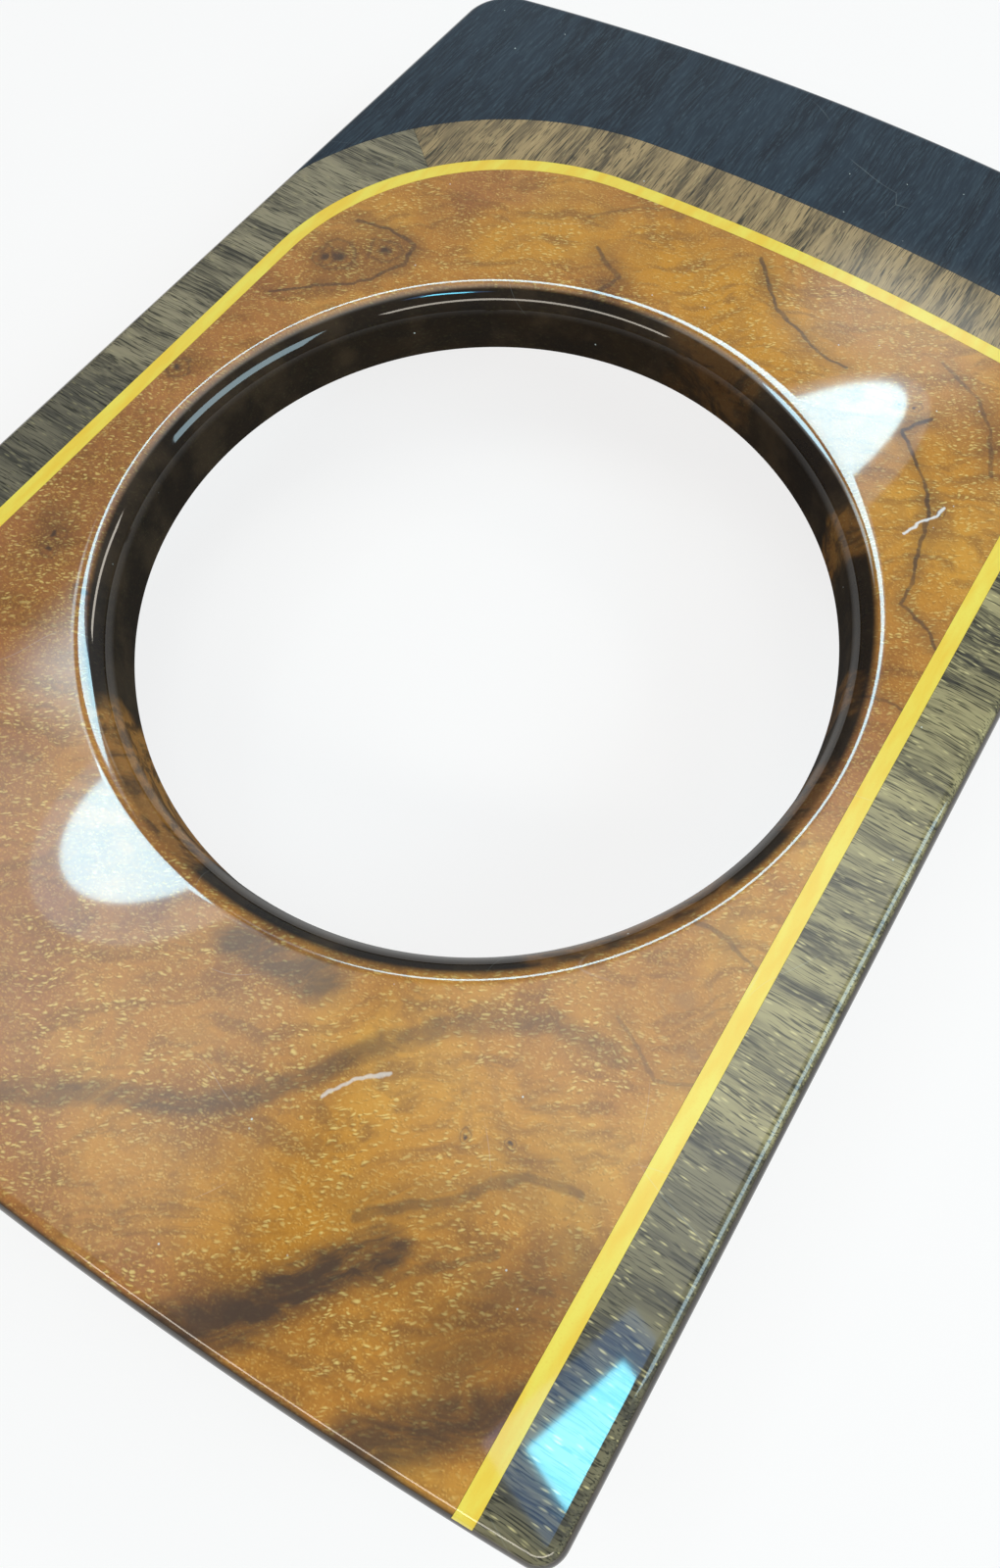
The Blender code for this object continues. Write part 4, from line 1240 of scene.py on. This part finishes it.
def plain_walnut():
    """The sealed veneer on the back: straight grain along the panel, matt."""
    finish = Finish("plain_walnut")
    grain = finish.placed(GRAIN, {"Place": finish.rotated(finish.place, math.pi / 2)})
    colour = finish.mix(finish.fade(grain["Tone"], 0.3, 0.7), BACK_VENEER_DEEP, BACK_VENEER_PALE)
    colour = finish.mix(finish.fade(grain["Streaks"], 0.4, 0.7, 0.0, 0.6), colour, BACK_VENEER_STREAK)
    colour = finish.mix(finish.math("MULTIPLY", grain["Pores"], 0.6), colour, BACK_VENEER_PORE)
    bump = finish.add("Bump", {"Height": grain["Streaks"], "Strength": 0.25, "Distance": FINE_RELIEF})
    finish.set(base_color=colour, roughness=finish.fade(grain["Streaks"], 0.2, 0.8, 0.5, 0.68))
    finish.feed(finish.shader.inputs["Normal"], bump.outputs[0])
    return finish.material


# Plated metal: two tones, and how finely its drawn lines repeat along each axis
STEEL_PALE = (0.62, 0.62, 0.63)
STEEL_DEEP = (0.48, 0.48, 0.5)
STEEL_DRAW = (0.8, 0.8, 6.0)
STRIP_PALE = (0.64, 0.62, 0.55)
STRIP_DEEP = (0.5, 0.49, 0.45)
STRIP_DRAW = (6.0, 0.6, 0.6)


def plated(name, pale, deep, stretch):
    """Zinc-plated metal with fine drawn lines and cloudy patches."""
    finish = Finish(name)
    drawn = finish.noise(finish.stretched(finish.place, stretch), 1.0, 3.0)
    cloudy = finish.noise(finish.place, 0.5, 2.0)
    colour = finish.mix(finish.fade(cloudy, 0.35, 0.7), pale, deep)
    bump = finish.add("Bump", {"Height": drawn, "Strength": 0.08, "Distance": FINE_RELIEF})
    finish.set(base_color=colour, metallic=1.0, roughness=finish.fade(drawn, 0.3, 0.7, 0.28, 0.42))
    finish.feed(finish.shader.inputs["Normal"], bump.outputs[0])
    return finish.material


build_board(stained_edge())
build_burr_field(burr_walnut())
build_boxwood_line(boxwood())
build_bands({place: crossband("crossband_" + place, **look) for place, look in BAND_LOOKS.items()})
build_dark_end(dark_veneer())
frame["nodes"]["balancing_veneer"].data.materials.clear()
frame["nodes"]["balancing_veneer"].data.materials.append(plain_walnut())
build_fixings(
    plated("plated_steel", STEEL_PALE, STEEL_DEEP, STEEL_DRAW),
    plated("plated_strip", STRIP_PALE, STRIP_DEEP, STRIP_DRAW),
)

# Camera, read off the photograph: place, right and down directions of the picture, and focal length
IMAGE_WIDTH = 1020
IMAGE_HEIGHT = 1600
CAMERA_FROM_FIELD = Vector((0.04270, -0.04892, 0.09598))
PICTURE_RIGHT = Vector((0.84859, 0.52886, 0.01406))
PICTURE_DOWN = Vector((0.50023, -0.79344, -0.34672))
FOCAL_PIXELS = 976.5
PRINCIPAL_POINT = (593.6, 808.8)
CLIP_START = 0.005


def build_camera():
    data = bpy.data.cameras.new("camera")
    camera = bpy.data.objects.new("camera", data)
    bpy.context.scene.collection.objects.link(camera)
    right = PICTURE_RIGHT.normalized()
    back = right.cross(-PICTURE_DOWN).normalized()
    up = back.cross(right)
    turn = Matrix((right, up, back)).transposed().to_4x4()
    camera.matrix_world = Matrix.Translation(FIELD_CENTRE + SHOW_Z * UP + CAMERA_FROM_FIELD) @ turn
    data.lens = FOCAL_PIXELS / IMAGE_HEIGHT * data.sensor_width
    data.shift_x = (IMAGE_WIDTH / 2 - PRINCIPAL_POINT[0]) / IMAGE_HEIGHT
    data.shift_y = (PRINCIPAL_POINT[1] - IMAGE_HEIGHT / 2) / IMAGE_HEIGHT
    data.clip_start = CLIP_START
    bpy.context.scene.camera = camera


# Floor and backdrop; the floor's white is how much of it the eye and mirrors see as plain white
FLOOR_SIZE = 3.0
FLOOR_COLOUR = (0.82, 0.82, 0.82)
FLOOR_WHITE = 0.8
BACKDROP_COLOUR = (0.86, 0.87, 0.88)


def build_floor():
    """A pale floor that looks white, takes the panel's shadow and is clear when seen from below."""
    shape = bmesh.new()
    bmesh.ops.create_grid(shape, x_segments=1, y_segments=1, size=FLOOR_SIZE)
    mesh = settled(shape)
    floor = bpy.data.objects.new("floor", mesh)
    bpy.context.scene.collection.objects.link(floor)
    material = bpy.data.materials.new("pale_floor")
    material.use_nodes = True
    tree = Tree(material.node_tree)
    nodes = material.node_tree.nodes
    nodes.remove(nodes["Principled BSDF"])
    matt = tree.add("BsdfDiffuse", {"Color": FLOOR_COLOUR}).outputs[0]
    white = tree.add("Emission", {"Color": (1, 1, 1), "Strength": 1.0}).outputs[0]
    rays = tree.add("LightPath").outputs
    mirrored = tree.math("MAXIMUM", rays["Is Glossy Ray"], rays["Is Transmission Ray"])
    seen = tree.math("MULTIPLY", tree.math("MAXIMUM", rays["Is Camera Ray"], mirrored), FLOOR_WHITE)
    blend = tree.add("MixShader", {0: seen, 1: matt, 2: white}).outputs[0]
    under = tree.add("NewGeometry").outputs["Backfacing"]
    clear = tree.add("BsdfTransparent").outputs[0]
    blend = tree.add("MixShader", {0: under, 1: blend, 2: clear}).outputs[0]
    tree.feed(nodes["Material Output"].inputs["Surface"], blend)
    mesh.materials.append(material)


# The room's light; windows are low and high corners on a plane one unit up, their blur and their radiance
LOWEST_RISE = 0.05
ROOM_COLOUR = (0.1, 0.105, 0.115)
FAR_SIDE = (-0.25, 0.85, 0.46)
FAR_SIDE_COLOUR = (0.36, 0.4, 0.44)
WINDOWS = [
    ([((-0.2, -0.06), (0.3, 0.5), 0.14), ((-0.8, -0.3), (-0.27, 0.1), 0.1)], (2.7, 2.8, 2.7)),
    ([((-0.81, 0.09), (-0.6, 0.29), 0.05)], (5.2, 7.4, 8.2)),
    ([((-0.31, 1.03), (-0.04, 1.22), 0.07)], (2.4, 2.6, 2.6)),
]

# Lamps aimed at the field's centre: place from there, size, radiance and colour
WARM = (1.0, 0.92, 0.8)
PALE = (0.62, 0.88, 1.0)
LAMPS = {
    "near_strip": ((0.25, -0.72, 0.62), (1.2, 0.12), 9, WARM),
    "far_strip": ((0.26, 0.7, 0.6), (0.35, 0.1), 10, WARM),
    "right_lamp": ((0.75, 0.12, 0.53), (0.62, 0.32), 7, PALE),
}

# Overhead lamps that only show as glares, each with a wider, dimmer halo just above it
COOL = (0.52, 0.87, 1.0)
BLUE = (0.3, 0.65, 1.0)
CYAN = (0.2, 0.8, 1.0)
DEEP_BLUE = (0.1, 0.4, 1.0)
HALO_LIFT = 0.02
CEILING_LOOK = {
    "turn": math.radians(-23.6),
    "outline": "ELLIPSE",
    "lamp": (17, COOL),
    "halo": (2, BLUE),
    "halo_growth": (0.07, 0.08),
}
TOP_LOOK = {
    "turn": math.radians(-20),
    "outline": "RECTANGLE",
    "lamp": (26, CYAN),
    "halo": (2.5, DEEP_BLUE),
    "halo_growth": (0.045, 0.06),
}
GLARES = {
    "near_ceiling": ((-0.446, 0.016, 0.8), (0.16, 0.25), CEILING_LOOK),
    "far_ceiling": ((-0.202, 0.574, 0.8), (0.16, 0.66), CEILING_LOOK),
    "top": ((0.178, -0.22, 0.8), (0.055, 0.1), TOP_LOOK),
}


def softbox(name, place, aim, size, radiance, colour, roll=0.0, shape="RECTANGLE"):
    """A flat lamp of this radiance, facing the aim."""
    lamp = bpy.data.lights.new(name, "AREA")
    lamp.shape = shape
    lamp.size, lamp.size_y = size
    fullness = math.pi / 4 if shape == "ELLIPSE" else 1.0
    lamp.energy = radiance * math.pi * size[0] * size[1] * fullness
    lamp.color = colour
    item = bpy.data.objects.new(name, lamp)
    facing = (aim - place).to_track_quat("-Z", "Y").to_matrix().to_4x4()
    item.matrix_world = Matrix.Translation(place) @ facing @ Matrix.Rotation(roll, 4, "Z")
    bpy.context.scene.collection.objects.link(item)
    return item


def glare(name, place, size, radiance, colour, roll, shape):
    """A lamp overhead that shows in the lacquer and adds no light to the colours under it."""
    softbox(name, place, place - UP, size, radiance, colour, roll, shape).visible_diffuse = False


def soft_window(tree, across, along, low, high, blur):
    """A soft-edged rectangle overhead, measured in places on a plane one unit above the panel."""
    mask = 1.0
    for place, first, last in ((across, low[0], high[0]), (along, low[1], high[1])):
        mask = tree.math("MULTIPLY", mask, tree.fade(place, first - blur, first + blur))
        mask = tree.math("MULTIPLY", mask, tree.fade(place, last - blur, last + blur, 1.0, 0.0))
    return mask


def build_world():
    """A dim room with a paler far side and soft lit panels overhead, before a pale backdrop."""
    world = bpy.data.worlds.new("world")
    bpy.context.scene.world = world
    world.use_nodes = True
    tree = Tree(world.node_tree)
    direction = tree.add("TexCoord").outputs["Generated"]
    sides = tree.add("SeparateXYZ", {0: direction}).outputs
    rise = tree.math("MAXIMUM", sides[2], LOWEST_RISE)
    across = tree.math("DIVIDE", sides[0], rise)
    along = tree.math("DIVIDE", sides[1], rise)
    far_side = tree.fade(tree.vector("DOT_PRODUCT", direction, FAR_SIDE), 0.6, 1.0)
    colour = tree.mix(far_side, ROOM_COLOUR, FAR_SIDE_COLOUR)
    for windows, light in WINDOWS:
        mask = 0.0
        for low, high, blur in windows:
            mask = tree.math("MAXIMUM", mask, soft_window(tree, across, along, low, high, blur))
        colour = tree.mix(mask, colour, light)
    colour = tree.mix(tree.add("LightPath").outputs["Is Camera Ray"], colour, BACKDROP_COLOUR)
    tree.feed(world.node_tree.nodes["Background"].inputs["Color"], colour)


def build_lamps():
    centre = lifted(Vector((0, 0)), SHOW_Z)
    for name, (place, size, radiance, colour) in LAMPS.items():
        softbox(name, centre + Vector(place), centre, size, radiance, colour)
    for name, (place, size, look) in GLARES.items():
        overhead = centre + Vector(place)
        wide = [side + growth for side, growth in zip(size, look["halo_growth"])]
        glare(name + "_lamp", overhead, size, *look["lamp"], look["turn"], look["outline"])
        glare(name + "_halo", overhead + HALO_LIFT * UP, wide, *look["halo"], look["turn"], look["outline"])


build_camera()
build_floor()
build_world()
build_lamps()
bpy.context.scene.view_settings.view_transform = "Standard"
